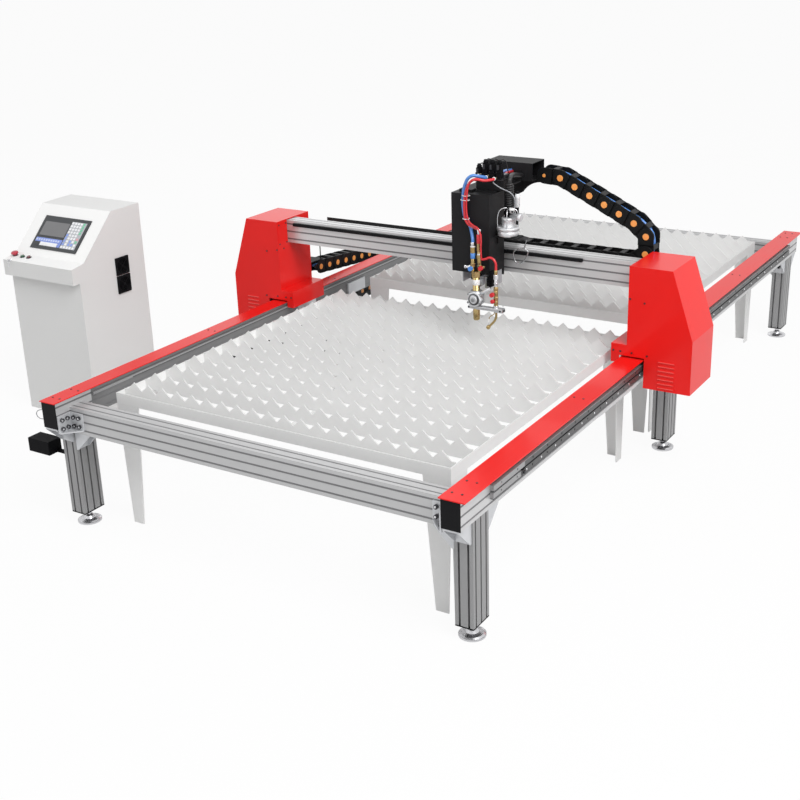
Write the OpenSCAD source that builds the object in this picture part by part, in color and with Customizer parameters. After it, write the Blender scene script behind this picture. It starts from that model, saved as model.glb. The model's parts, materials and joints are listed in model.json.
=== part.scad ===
// Gantry cutting table on a T-slot frame, with two slat beds and a floor console.
// X runs across the table, +Y from the front end to the rear, +Z up. Sizes in millimetres.

/* [Frame] */
// distance between the centre lines of the two side rails
rail_gauge = 2000; // [1900:10:2400]
// length of each side rail
rail_len = 4280; // [4200:10:4800]
// height of the rail tops above the floor
rail_top = 630; // [600:5:640]
// width of the T-slot profile
prof_w = 80; // [76:2:84]
// height of the T-slot profile
prof_h = 120; // [116:2:124]
// front end of the rail to the front face of the front legs
leg_inset = 90; // [90:2:110]
// height of a levelling foot, from the floor to the leg's base plate
foot_h = 60; // [54:2:70]

/* [Covers] */
// thickness of the flat rail covers
cover_t = 4; // [3:0.5:5]
// how far a cover passes the rail on its outer side
cover_out = 24; // [22:1:26]

/* [Gantry] */
// front of the end housings at rest, from the front end of the rails
gantry_y = 1650; // [1400:10:1800]
// depth of the end housings along the rails
housing_d = 280; // [270:5:300]
// height of the housing tops above the floor
housing_top = 1066; // [1060:2:1090]
// sheet thickness of the housings
sheet_t = 3; // [2:0.5:4]

/* [Torch] */
// left side of the lifter box at rest, from the table's middle
lifter_x = 124; // [20:2:220]
// width of the lifter box
lifter_w = 200; // [194:2:206]
// top of the lifter box above the floor
lifter_top = 1340; // [1300:5:1380]

/* [Slat beds] */
// tips of the slat teeth above the floor
slat_top = 670; // [656:1:684]
// number of slats in each bed
slat_count = 13; // [9:1:13]
// number of teeth on a slat
tooth_count = 20; // [12:1:24]

/* [Console] */
// width of the console
console_w = 513; // [480:1:560]
// right side of the console, from the table's middle
console_right = 1822; // [1700:2:1900]
// height of the console
console_h = 1120; // [1100:5:1160]

/* [Output] */
// which node to draw

/* [Hidden] */
$fn = 48;
fit = 0.3;

// frame
slot_pitch = 40;
rail_x = rail_gauge / 2;
rail_in = rail_x - prof_w / 2;
rail_out = rail_x + prof_w / 2;
rail_bot = rail_top - prof_h;
cap_t = 4;
cover_in = 6;
cover_lap = 8;
leg_base = foot_h + 6;
leg_ys = [leg_inset, rail_len / 2 - prof_h / 2, rail_len - leg_inset - prof_h];
cross_drop = 40;
cross_y = 82;
cross_bot = rail_bot - cross_drop;
gusset_l = 88;
gusset_w = 70;
bracket_l = 78;

// guides and racks beside the rails
guide_y0 = 220;
guide_len = rail_len - 2 * guide_y0;
guide_z = rail_top - 46;
guide_h = 22;
guide_t = 18;
inner_z = rail_top - 30;
inner_h = 12;
inner_t = 10;
rack_z = rail_top - 78;
rack_h = 22;
rack_t = 16;
pinion_r = 20;

// gantry, from its own front face
hy = gantry_y;
hy2 = gantry_y + housing_d;
house_in = rail_in - 9 + 32;
house_low = rail_in - 53;
house_out = rail_out + 251;
house_shoulder = 146;
house_notch_in = rail_in - 13;
house_notch_out = rail_out + 28;
notch_z = rail_top + 12;
low_z = rail_bot + 96;
low_top = rail_top + 65;
seam_z = 929;
skirt_z = rail_bot - 10;
slant_z = 753;
beam_y = hy + 88;
beam_top = housing_top - 6;
beam_bot = beam_top - prof_h;
beam_x = rail_x + 70;
xguide_z = beam_top - 20;

// cable chains
pitch = 84;
link_h = 78;
link_w = 84;
plate_t = 5;
pin_cap = 31;
cap_h = 2;
xchain_y = hy + 298;
xchain_start = [415, 1370];
xchain_up = [-4, -25, -25, -25.5, -26, -26];
xchain_round = [-43, -90, -148];
xchain_flat = [-180, -180, -180, -180, -180, -180, -180, -180];
ychain_x = -rail_out - 160;
ychain_start = [hy + 553, rail_top + 43];
ychain_up = [-5.3, -5.3, -5.3, -5.3, -5.3, -5, -4.5, -4, -3, -2.5, -2, -2];
ychain_round = [-43, -90, -148];
ychain_flat = [-180, -180, -180, -180, -180, -180, -180, -180, -180, -180, -180, -180];

// carriage
box_y = beam_y - 176;
box_y2 = beam_y - 28;
box_z = lifter_top - 375;
lx = lifter_x;
torch_x = lx + 148;
torch_y = box_y - 34;
pilot_x = lx + 252;
tip_z = slat_top + 78;

// beds
bed_x = 847;
bed_mid = 22;
bed_len = 1700;
slat_inset = 50;
slat_end = 20;
bed_pitch = (bed_len - 2 * slat_inset) / (slat_count - 1);
bed_front_y = 235;
bed_rear_y = 2268;
bed_low = slat_top - 93;
bed_rim = slat_top - 42;
strip_h = 8;
tooth_h = 38;

// console
con_x = -console_right;
con_x2 = -console_right - console_w;
con_y = 1025;
con_back = 1515;
con_ledge = 978;

// the whole stands on Z 0 with its middle at the origin
mid_x = (house_out + con_x2) / 2;
mid_y = rail_len / 2;
module place() translate([-mid_x, -mid_y, 0]) children();

// a flat shape drawn in X and Z, pulled along Y from y0
module yprism(y0, l) translate([0, y0 + l, 0]) rotate([90, 0, 0]) linear_extrude(l) children();
// a flat shape drawn in Y and Z, pulled along X from x0
module xprism(x0, l) translate([x0, 0, 0]) rotate([90, 0, 90]) linear_extrude(l) children();
// a flat shape drawn in X and Y, pulled up from z0
module zprism(z0, l) translate([0, 0, z0]) linear_extrude(l) children();
// a box given by its two corners
module span(a, b) translate(a) cube(b - a);
module both_sides() {
  children();
  mirror([1, 0, 0]) children();
}
function walk(p, angles, i = 0) = i == len(angles) ? [p]
  : concat([p], walk(p + pitch * [cos(angles[i]), sin(angles[i])], angles, i + 1));

// T-slot profile
module slot2d() polygon([[-4.2, 1], [4.2, 1], [4.2, -4.5], [8, -4.5], [8, -9], [4.5, -13],
  [-4.5, -13], [-8, -9], [-8, -4.5], [-4.2, -4.5]]);
module profile2d(w, h) difference() {
  square([w, h], center = true);
  for (s = [-1, 1], k = [-1:1]) translate([s * w / 2, k * slot_pitch]) rotate(-s * 90) slot2d();
  for (s = [-1, 1], k = [-0.5, 0.5]) translate([k * slot_pitch, s * h / 2])
    rotate(s > 0 ? 0 : 180) slot2d();
  for (k = [-1:1]) translate([0, k * slot_pitch]) circle(d = 24);
}

module rail(s) yprism(cap_t, rail_len - 2 * cap_t) translate([s * rail_x, rail_top - prof_h / 2])
  profile2d(prof_w, prof_h);
module rail_left() color("silver") place() rail(-1);
module rail_right() color("silver") place() rail(1);
module rail_cap(s, y) translate([s * rail_x - prof_w / 2, y, rail_bot]) cube([prof_w, cap_t, prof_h]);
module base_plate(s, y) difference() {
  translate([s * rail_x - prof_w / 2, y, foot_h]) cube([prof_w, prof_h, leg_base - foot_h]);
  translate([s * rail_x, y + prof_h / 2, foot_h - 1]) cylinder(d = 21, h = 9);
}
module profile_caps() color("black") place() {
  for (s = [-1, 1], y = [0, rail_len - cap_t]) rail_cap(s, y);
  for (s = [-1, 1], y = leg_ys) base_plate(s, y);
}
cover_ys = [51, 160, 1090, 2140, 3190, rail_len - 160, rail_len - 51];
module cover_holes(s) for (y = cover_ys, k = [-1, 1]) translate([s * rail_x + 21 * k, y, rail_top - 1])
  cylinder(d = 5.4, h = cover_t + 2);
module cover() difference() {
  span([rail_in - cover_in, -cover_lap, rail_top],
    [rail_out + cover_out, rail_len + cover_lap, rail_top + cover_t]);
  cover_holes(1);
}
module cover_left() color("red") place() mirror([1, 0, 0]) cover();
module cover_right() color("red") place() cover();
module crossbeam(y) xprism(-rail_in, 2 * rail_in) translate([y + prof_w / 2, cross_bot + prof_h / 2])
  profile2d(prof_w, prof_h);
module crossbeams() color("silver") place() for (y = [cross_y, rail_len - cross_y - prof_w])
  crossbeam(y);
module leg_pair(y) for (s = [-1, 1]) zprism(leg_base, rail_bot - leg_base)
  translate([s * rail_x, y + prof_h / 2]) profile2d(prof_w, prof_h);
module legs() color("silver") place() for (y = leg_ys) leg_pair(y);

// levelling foot: tread disc, domed hub, lock nut and stud
module foot(s, i) translate([s * rail_x, leg_ys[i] + prof_h / 2, 0]) {
  cylinder(d = 108, h = 8);
  translate([0, 0, 8]) rotate_extrude() polygon([[0, 0], [52, 0], [44, 5], [26, 9], [20, 20], [13, 26],
    [0, 26]]);
  cylinder(d = 20, h = 110);
  translate([0, 0, foot_h - 14]) cylinder(d = 34, h = 13.6, $fn = 6);
}
module foot_fl() color("gray") place() foot(-1, 0);
module foot_fr() color("gray") place() foot(1, 0);
module foot_ml() color("gray") place() foot(-1, 1);
module foot_mr() color("gray") place() foot(1, 1);
module foot_rl() color("gray") place() foot(-1, 2);
module foot_rr() color("gray") place() foot(1, 2);

// cast gusset in the corner under a beam: flanges along +X and -Z, a web at each edge
module gusset() {
  translate([0, -gusset_w / 2, -8]) cube([gusset_l, gusset_w, 8]);
  translate([0, -gusset_w / 2, -gusset_l]) cube([8, gusset_w, gusset_l]);
  for (y = [-gusset_w / 2, gusset_w / 2 - 6]) yprism(y, 6)
    polygon([[4, -4], [gusset_l, -4], [gusset_l, -10], [10, -gusset_l], [4, -gusset_l]]);
}
module gusset_bolts() {
  translate([gusset_l * 0.56, 0, -8]) mirror([0, 0, 1]) bolt_head();
  translate([8, 0, -gusset_l * 0.56]) rotate([0, 90, 0]) bolt_head();
}
module bolt_head() difference() {
  cylinder(d = 18, h = 10);
  translate([0, 0, 4]) cylinder(d = 9, h = 7, $fn = 6);
}
module at_gussets() {
  for (s = [-1, 1], i = [0:2]) {
    translate([s * rail_x, leg_ys[i], rail_bot]) rotate(-90) children();
    translate([s * rail_x, leg_ys[i] + prof_h, rail_bot]) rotate(90) children();
  }
  for (s = [-1, 1], y = [leg_ys[0] + 37, leg_ys[2] + prof_h - 37])
    translate([s * rail_in, y, cross_bot]) rotate(s > 0 ? 180 : 0) children();
}
// corner bracket between a rail and a crossbeam, with slotted holes for its bolts
module slot_hole() {
  for (k = [-4, 4]) translate([k, 0, -1]) cylinder(d = 9, h = 10);
  translate([-4, -4.5, -1]) cube([8, 9, 10]);
}
module bracket_flange() difference() {
  cube([bracket_l, 8, 80]);
  for (x = [30, 60], z = [20, 60]) translate([x, 0, z]) rotate([-90, 0, 0]) slot_hole();
}
module bracket() {
  translate([0, -8, 0]) bracket_flange();
  mirror([1, 1, 0]) mirror([0, 1, 0]) bracket_flange();
  zprism(0, 5) polygon([[4, -4], [bracket_l, -4], [bracket_l, -10], [10, -bracket_l], [4, -bracket_l]]);
}
module bracket_bolts() for (x = [30, 60], z = [20, 60]) {
  translate([x, -8, z]) rotate([90, 0, 0]) bolt_head();
  translate([8, -x, z]) rotate([0, 90, 0]) bolt_head();
}
module at_brackets() for (s = [0, 1], t = [0, 1]) mirror([s, 0, 0])
  translate([0, t * rail_len, 0]) mirror([0, t, 0])
  translate([-rail_in, cross_y, cross_bot + 20]) children();
module splices() {
  translate([rail_in + 5, 1236, rail_bot - 8]) cube([prof_w - 10, 420, 8]);
  mirror([1, 0, 0]) translate([rail_in - 10, 2230, rail_bot + 8]) cube([10, 170, 66]);
}
module cast_brackets() color("lightgray") place() {
  at_gussets() gusset();
  at_brackets() bracket();
  splices();
}
module frame_bolts() color("dimgray") place() {
  at_gussets() gusset_bolts();
  at_brackets() bracket_bolts();
  for (s = [-1, 1], y = cover_ys, k = [-1, 1]) translate([s * rail_x + 21 * k, y, rail_top]) {
    cylinder(d = 5, h = cover_t);
    translate([0, 0, cover_t]) cylinder(d = 9, h = 1.6);
  }
}
module guide_bar(x0, t, z0, h, step) difference() {
  translate([x0, guide_y0, z0]) cube([t, guide_len, h]);
  for (y = [guide_y0 + 60:step:guide_y0 + guide_len - 20]) translate([x0 - 1, y, z0 + h / 2])
    rotate([0, 90, 0]) translate([0, 0, t - 3]) cylinder(d = 10, h = 5, $fn = 12);
}
module rail_guides() color("dimgray") place() both_sides() {
  guide_bar(rail_out, guide_t, guide_z, guide_h, 130);
  translate([rail_in - inner_t, guide_y0, inner_z]) cube([inner_t, guide_len, inner_h]);
}
module racks() color("dimgray") place() both_sides() {
  guide_bar(rail_out, rack_t, rack_z, rack_h, 130);
}
module junction_box() color("black") place() {
  translate([-1232, 60, 334]) difference() {
    cube([127, 75, 64]);
    translate([3, 3, 3]) cube([121, 69, 58]);
  }
  translate([-1105, 98, 340]) cube([1105 - rail_out, 30, 4]);
  translate([-rail_out - 4, 98, 340]) cube([4, 30, 60]);
}

// cable chain link: its near end lies outside, its far end inside, so each link laps the next at
// their shared pin. Drawn with the near pin at the origin, the far one at +X and the width along Z.
web0 = link_h / 2 + 0.5;
web1 = pitch - link_h / 2 - 2;
straight_h = link_h * 0.97;
module link_side() {
  linear_extrude(plate_t - fit / 2) {
    circle(d = link_h);
    translate([0, -straight_h / 2]) square([web1, straight_h]);
  }
  translate([0, 0, plate_t + fit / 2]) linear_extrude(plate_t - fit / 2) {
    translate([pitch, 0]) circle(d = link_h);
    translate([web0, -straight_h / 2]) square([pitch - web0, straight_h]);
  }
  linear_extrude(2 * plate_t) translate([web0, -straight_h / 2]) square([web1 - web0, straight_h]);
  translate([0, 0, -cap_h]) cylinder(d = pin_cap, h = cap_h);
}
module link(w) {
  link_side();
  translate([0, 0, w]) mirror([0, 0, 1]) link_side();
  for (s = [-1, 1]) translate([web0, s * (link_h / 2 - 5) - 3, 2 * plate_t - 1])
    cube([18, 6, w - 4 * plate_t + 2]);
}
module chain(pins, w) for (i = [0:len(pins) - 2]) {
  d = pins[i + 1] - pins[i];
  translate(pins[i]) rotate(atan2(d[1], d[0])) link(w);
}
// drawn in X and Z and laid across +Y from y0
module in_xz(y0) translate([0, y0, 0]) rotate([90, 0, 0]) mirror([0, 0, 1]) children();
// drawn in Y and Z and laid across +X from x0
module in_yz(x0) translate([x0, 0, 0]) rotate([90, 0, 90]) children();
x_up = walk(xchain_start, xchain_up);
x_round = walk(x_up[len(x_up) - 1], xchain_round);
x_flat = walk(x_round[len(x_round) - 1], xchain_flat);
y_up = walk(ychain_start, ychain_up);
y_round = walk(y_up[len(y_up) - 1], ychain_round);
y_flat = walk(y_round[len(y_round) - 1], ychain_flat);
module ychain_upper() color("black") place() in_yz(ychain_x) chain(y_up, link_w);
module ychain_bend() color("black") place() in_yz(ychain_x) chain(y_round, link_w);
module ychain_lower() color("black") place() in_yz(ychain_x) chain(y_flat, link_w);
module xchain_upper() color("black") place() in_xz(xchain_y) chain(x_up, link_w);
module xchain_bend() color("black") place() in_xz(xchain_y) chain(x_round, link_w);
module xchain_lower() color("black") place() in_xz(xchain_y) chain(x_flat, link_w);

// channel trays: a floor, two side strips and their hangers
module channel(low, w, len, wall) {
  translate(low) cube([w[0], w[1], 2]);
  for (k = [0, 1]) translate(low + [k * len[0], k * len[1], 2 + fit]) cube([w[0] - len[0], w[1] - len[1], wall]);
}
tray_y = 1300;
module ychain_tray() color("black") place() {
  z = y_flat[0][1] - link_h / 2 - 2.6;
  x = ychain_x - 6;
  w = link_w + 12;
  long = rail_len - tray_y;
  channel([x, tray_y, z], [w, long], [w - 2, 0], 32);
  for (k = [0.134, 0.386, 0.554, 0.721, 0.866]) translate([0, tray_y + k * long, 0]) {
    translate([-rail_out, 0, rail_bot - 6]) cube([60, 40, 6]);
    translate([-rail_out - 6 - fit, 0, z - 6 - fit]) cube([6, 40, rail_bot - z + 6]);
    translate([x, 0, z - 6 - fit]) cube([-rail_out - 6 - 2 * fit - x, 40, 6]);
  }
}
// arm from the left housing back to the chain's first link, with an end post
module ychain_arm() color("black") place() {
  y = ychain_start[0];
  z = ychain_start[1] + link_h / 2 + 2;
  span([ychain_x + 2, hy2, z], [ychain_x + link_w - 2, y - 38, z + 5]);
  span([ychain_x + 2, hy2, z - 60], [ychain_x + link_w - 2, hy2 + 4, z - fit]);
  span([ychain_x + 2, y - 38 + fit, z], [ychain_x + link_w - 2, y + 22, z + 3]);
  translate([ychain_x + link_w - 8, y + 10, z + 3 + fit]) cylinder(d = 6, h = 100);
}
module xchain_tray() color("black") place() {
  z = x_flat[0][1] - link_h / 2 - 2.6;
  y = xchain_y - 5;
  w = link_w + 10;
  back = beam_y + prof_w;
  channel([-883, y, z], [2063, w], [0, w - 2], 74 - fit);
  for (x = [-800, -400, 0, 400, 800]) {
    translate([x, back + 5 + fit, z - 5 - fit]) cube([40, y + w - back - 5 - fit, 5]);
    translate([x, back, z - 5 - fit]) cube([40, 5, 60]);
  }
}

// slat beds
module slat2d() {
  w = bed_x - 5 - fit;
  step = 2 * (w - slat_end) / tooth_count;
  valley = slat_top - tooth_h;
  polygon(concat([[-w, bed_low + strip_h], [-w, valley]],
    [for (i = [0:tooth_count - 1], k = [0, 1]) [-w + slat_end + step * (i + k * 0.5), k == 0 ? valley : slat_top]],
    [[w - slat_end, valley], [w, valley], [w, bed_low + strip_h]]));
}
module slats(y0) translate([bed_mid, 0, 0])
  for (i = [0:slat_count - 1]) yprism(y0 + slat_inset + bed_pitch * i - 2.5, 5) slat2d();
// tapered angle leg for one corner of a bed, its corner at the origin
module bed_leg() {
  module side(start) polygon([[start, bed_low - fit], [125, bed_low - fit], [79, 0], [20, 0]]);
  yprism(0, 5) side(0);
  xprism(0, 5) side(5 + fit);
}
module bed_corners(y0) for (s = [0, 1], t = [0, 1]) mirror([s, 0, 0]) translate([-bed_x, y0 + t * bed_len, 0])
  mirror([0, t, 0]) children();
// rim plates, bottom strips that the slats stand on, and legs
module bed_frame(y0) translate([bed_mid, 0, 0]) {
  both_sides() span([bed_x - 5, y0, bed_low], [bed_x, y0 + bed_len, bed_rim]);
  for (y = [y0, y0 + bed_len - 5]) span([-bed_x + 5 + fit, y, bed_low], [bed_x - 5 - fit, y + 5, bed_rim]);
  for (x = [-bed_x + 20, 0, bed_x - 20]) translate([x - 14, y0 + 5 + fit, bed_low])
    cube([28, bed_len - 10 - 2 * fit, strip_h]);
  bed_corners(y0) bed_leg();
}
module bed_front_frame() color("gainsboro") place() bed_frame(bed_front_y);
module bed_front_slats() color("gainsboro") place() slats(bed_front_y);
module bed_rear_frame() color("gainsboro") place() bed_frame(bed_rear_y);
module bed_rear_slats() color("gainsboro") place() slats(bed_rear_y);

// console
module console_side() polygon([[con_y, 0], [con_back, 0], [con_back, console_h], [con_y + 275, console_h - 4],
  [con_y + 42, 887], [con_ledge, 872], [con_ledge, 787], [con_y - 2, 787], [con_y - 2, 783], [con_y, 783]]);
module console_core() polygon([[con_y + 2, 2], [con_back - 2, 2], [con_back - 2, console_h - 2],
  [con_y + 276, console_h - 6], [con_y + 43, 885], [con_ledge + 2, 870], [con_ledge + 2, 789],
  [con_y + 2, 789]]);
slope = atan2(console_h - 4 - 887, 233);
module on_slope() translate([con_x - console_w / 2, con_y + 42, 887]) rotate([slope, 0, 0]) children();
ledge = atan2(15, 89);
module on_ledge(x, y) translate([con_x2 + x, con_ledge, 872]) rotate([ledge, 0, 0])
  translate([0, y, 0]) children();
fan_y = con_y + 314;
fan_zs = [810, 708];
button_at = [[30, 62], [90, 58], [136, 60]];
module console_body() color("whitesmoke") place() difference() {
  xprism(con_x2, console_w) console_side();
  xprism(con_x2 + 2, console_w - 4) console_core();
  on_slope() translate([-162, 54, -4]) cube([324, 190, 8]);
  for (z = fan_zs) translate([con_x - 4, fan_y, z]) rotate([0, 90, 0]) cylinder(d = 86, h = 8);
  for (p = button_at) on_ledge(p[0], p[1]) translate([0, 0, -5]) cylinder(d = 23, h = 10);
}
module console_panel() color("dimgray") place() {
  on_slope() {
    translate([-170, 46, 0]) cube([340, 206, 5]);
    translate([-158, 58, -60]) cube([316, 182, 62]);
  }
  for (p = button_at) on_ledge(p[0], p[1]) difference() {
    cylinder(d = 29, h = 2.6);
    translate([0, 0, -1]) cylinder(d = 20.6, h = 5);
  }
}
module fan_grilles() color("black") place() {
  for (z = fan_zs) translate([con_x, fan_y, z]) rotate([0, 90, 0]) difference() {
    translate([-48, -48, 0]) cube([96, 96, 8]);
    for (r = [12:8:40]) translate([0, 0, -1]) difference() {
      cylinder(r = r + 2.5, h = 10);
      translate([0, 0, -1]) cylinder(r = r - 2.5, h = 12);
      for (a = [45, 135]) rotate(a) translate([-50, -2, -1]) cube([100, 4, 12]);
    }
  }
  fan_pins();
}
module fan_pins() for (z = fan_zs) translate([con_x - 28, fan_y, z]) rotate([0, 90, 0]) cylinder(d = 8, h = 30);
module fan(z) translate([con_x - 26, fan_y, z]) rotate([0, 90, 0]) difference() {
  union() {
    cylinder(d = 36, h = 18);
    for (a = [0:51.43:359]) rotate(a) translate([16, -9, 4]) rotate([35, 0, 0]) cube([22, 16, 2]);
  }
  translate([0, 0, -5]) cylinder(d = 8.16, h = 30);
}
module fan_upper() color("black") place() fan(fan_zs[0]);
module fan_lower() color("black") place() fan(fan_zs[1]);
module estop() color("red") place() on_ledge(button_at[0][0], button_at[0][1]) {
  translate([0, 0, 10]) rotate_extrude() polygon([[0, 0], [16, 0], [20, 3], [20, 8], [15, 13], [6, 15],
    [0, 15]]);
  translate([0, 0, -20]) cylinder(d = 20, h = 31);
}
module push_button(i) on_ledge(button_at[i][0], button_at[i][1]) {
  translate([0, 0, -20]) cylinder(d = 20, h = 30);
}
module button_start() color("green") place() push_button(1);
module button_stop() color("darkred") place() push_button(2);

// gantry
module beam() color("silver") place() difference() {
  xprism(-beam_x, 2 * beam_x) translate([beam_y + prof_w / 2, beam_bot + prof_h / 2])
    profile2d(prof_w, prof_h);
}
module beam_guide() color("black") place() {
  span([-rail_in + 23, beam_y - 12, xguide_z - 8], [rail_in - 242, beam_y, xguide_z + 8]);
}
// saddle over the cover, hanging plate outside the rail, posts up to the beam
saddle_z = rail_top + 13;
hang_x = rail_out + 38;
post_x = house_in + sheet_t + 3;
module gantry_end() {
  span([rail_in - 40, hy + 20, saddle_z], [hang_x + 12, hy2 - 20, saddle_z + 12]);
  difference() {
    span([hang_x, hy + 20, rail_bot - 5], [hang_x + 12, hy2 - 20, saddle_z]);
    translate([hang_x - 1, hy + housing_d / 2, rack_z - pinion_r - 0.5]) rotate([0, 90, 0])
      cylinder(d = 26, h = 14);
  }
  span([rail_in - 40, hy + 60, inner_z - 20], [rail_in - 28, hy2 - 60, saddle_z]);
  difference() {
    span([post_x, beam_y, saddle_z + 12], [post_x + 50, beam_y + prof_w, beam_bot]);
    span([post_x + 6, beam_y + 6, saddle_z + 11], [post_x + 44, beam_y + prof_w - 6, beam_bot + 1]);
  }
  span([post_x, beam_y - 50, saddle_z + 12], [post_x + 10, beam_y + prof_w + 50, saddle_z + 60]);
}
module gantry_ends() color("silver") place() both_sides() gantry_end();
module bearing(x0, x1, y, z0, z1, gx0, gx1, gz0, gz1) difference() {
  span([x0, y, z0], [x1, y + 70, z1]);
  span([gx0, y - 1, gz0], [gx1, y + 71, gz1]);
}
module gantry_drive() {
  for (y = [hy + 24, hy2 - 94]) {
    bearing(rail_out + 5, hang_x, y, guide_z - 8, guide_z + guide_h + 8,
      rail_out, rail_out + guide_t + fit, guide_z - fit, guide_z + guide_h + fit);
  }
  for (y = [hy + 62, hy2 - 132]) bearing(rail_in - 28, rail_in - 3, y, inner_z - 8, inner_z + inner_h + 8,
    rail_in - inner_t - fit, rail_in, inner_z - fit, inner_z + inner_h + fit);
  my = hy + housing_d / 2;
  mz = rack_z - pinion_r - 0.5;
  translate([hang_x + 12, my, mz]) rotate([0, 90, 0]) difference() {
    union() {
      cylinder(d = 52, h = 120);
      translate([-26, -26, 0]) cube([52, 52, 30]);
    }
    translate([0, 0, -1]) cylinder(d = 13, h = 40);
  }
}
module gantry_drives() color("dimgray") place() both_sides() gantry_drive();
module pinion() translate([rail_out + 1, hy + housing_d / 2, rack_z - pinion_r - 0.5]) rotate([0, 90, 0]) {
  difference() {
    cylinder(r = pinion_r, h = rack_t - 1);
    for (a = [0:360 / 26:359]) rotate(a) translate([pinion_r, 0, -1]) cylinder(r = 1.5, h = rack_t + 2, $fn = 8);
  }
  cylinder(d = 12, h = hang_x + 12 + 28 - rail_out - 1);
}
module pinion_right() color("gray") place() pinion();
module pinion_left() color("gray") place() mirror([1, 0, 0]) pinion();

// end housing: one folded shell, open below, with the gap over the rail cut out of its ends
module house2d() polygon([[house_in, housing_top], [house_out - 105, housing_top], [house_out, slant_z],
  [house_out, skirt_z], [house_low, skirt_z], [house_low, low_top], [house_in, low_top]]);
module house_core2d() polygon([[house_in + sheet_t, housing_top - sheet_t],
  [house_out - 105 - sheet_t * 0.8, housing_top - sheet_t], [house_out - sheet_t, slant_z - sheet_t * 0.2],
  [house_out - sheet_t, skirt_z - 1], [house_low + sheet_t, skirt_z - 1],
  [house_low + sheet_t, low_top - sheet_t], [house_in + sheet_t, low_top - sheet_t]]);
module housing() {
  difference() {
    yprism(hy, housing_d) house2d();
    yprism(hy + sheet_t, housing_d - 2 * sheet_t) house_core2d();
    span([house_low - 1, hy - 1, skirt_z - 1], [house_notch_out, hy2 + 1, low_z]);
    span([house_notch_in, hy - 1, skirt_z - 1], [house_notch_out, hy2 + 1, notch_z]);
    span([house_in - 1, beam_y - 2, beam_bot - 2],
    [house_in + sheet_t + 1, beam_y + prof_w + 2, beam_top + 2]);
    for (p = housing_screw_at) translate([p[0], hy - 1, p[1]]) rotate([-90, 0, 0]) cylinder(d = 5.4, h = 6);
  }
  for (i = [0:6]) translate([rail_out + 95, hy, rail_bot + 4 + 20.5 * i]) rotate([0, 90, 0])
    cylinder(r = 3.5, h = 79, $fn = 24);
}
housing_screw_at = [[house_in + 9, 915], [house_in + 78, 903], [house_low + 12, notch_z + 20],
  [house_notch_in + 6, notch_z + 19], [rail_x + 8, notch_z + 18], [house_notch_out + 14, notch_z + 14]];
module housing_left() color("red") place() mirror([1, 0, 0]) housing();
module housing_right() color("red") place() housing();
module housing_screws() color("black") place() both_sides() {
  for (p = housing_screw_at) translate([p[0], hy + sheet_t, p[1]]) rotate([90, 0, 0]) {
    cylinder(d = 5, h = sheet_t + 0.5);
    translate([0, 0, sheet_t]) cylinder(d = 9, h = 2);
  }
}

// carriage
module carriage_plate() color("black") place() {
  span([lx + 4, beam_y - 28, beam_bot - 10], [lx + lifter_w - 4, beam_y - 20, beam_top + 24]);
  for (x = [lx + 12, lx + 118]) difference() {
    span([x, beam_y - 20, xguide_z - 18], [x + 70, beam_y - 3, xguide_z + 18]);
    span([x - 1, beam_y - 12 - fit, xguide_z - 8 - fit], [x + 71, beam_y, xguide_z + 8 + fit]);
  }
  span([lx + 4, beam_y - 20, beam_top + 12], [lx + 140, xchain_y + 36, beam_top + 20]);
  span([lx + 4, xchain_y + 28, beam_top + 20], [lx + 140, xchain_y + 36, 1300]);
  yprism(xchain_y + 28, 8) difference() {
    polygon([[lx + 4, 1300], [lx + 140, 1262], [lx + 268, 1330], [lx + 268, 1346], [lx + 4, 1346]]);
    translate([lx + 268, 1205]) circle(d = 250);
  }
}
module torch_box() color("black") place() difference() {
  span([lx, box_y, box_z], [lx + lifter_w, box_y2, lifter_top]);
  span([lx + 3, box_y + 3, box_z - 1], [lx + lifter_w - 3, box_y2 + 1, lifter_top - 3]);
  span([lx + 2.9, box_y2 - 0.1, box_z - 1], [lx + lifter_w - 2.9, box_y2 + 1, lifter_top - 2.9]);
}
module trunking() color("black") place() {
  difference() {
    span([lx + 6, xchain_y - 44, lifter_top + 6], [lx + 250, xchain_y + 86, lifter_top + 92]);
    span([lx + 9, xchain_y - 41, lifter_top + 9], [lx + 251, xchain_y + 83, lifter_top + 89]);
  }
  span([lx + 10, box_y + 60, lifter_top], [lx + lifter_w - 10, xchain_y - 44, lifter_top + 6]);
  span([lx + 10, xchain_y - 50, lifter_top + 6], [lx + lifter_w - 10, xchain_y - 44, lifter_top + 60]);
}
module valve(x, y, z) translate([x, y, z]) {
  cube([30, 34, 62]);
  translate([15, 17, -10]) cylinder(d = 14, h = 12);
  translate([15, 17, 62]) cylinder(d = 20, h = 14);
  translate([15, 0, 12]) rotate([90, 0, 0]) cylinder(d = 13, h = 16);
  translate([15, -12, 12]) rotate([90, 0, 0]) cylinder(d = 17, h = 7, $fn = 6);
}
valve_z = lifter_top + 54;
valve_at = [[lx + 88, box_y + 72], [lx + 128, box_y + 84], [lx + 168, box_y + 96]];
module gas_valves() color("dimgray") place() {
  for (i = [0:2]) valve(valve_at[i][0], valve_at[i][1], valve_z + 8 * i);
  span([lx + 84, box_y + 90, lifter_top + 6], [lx + lifter_w, box_y + 126, valve_z + 18]);
}
reg_x = lx + 258;
reg_y = box_y + 78;
reg_z = 1145;
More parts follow.
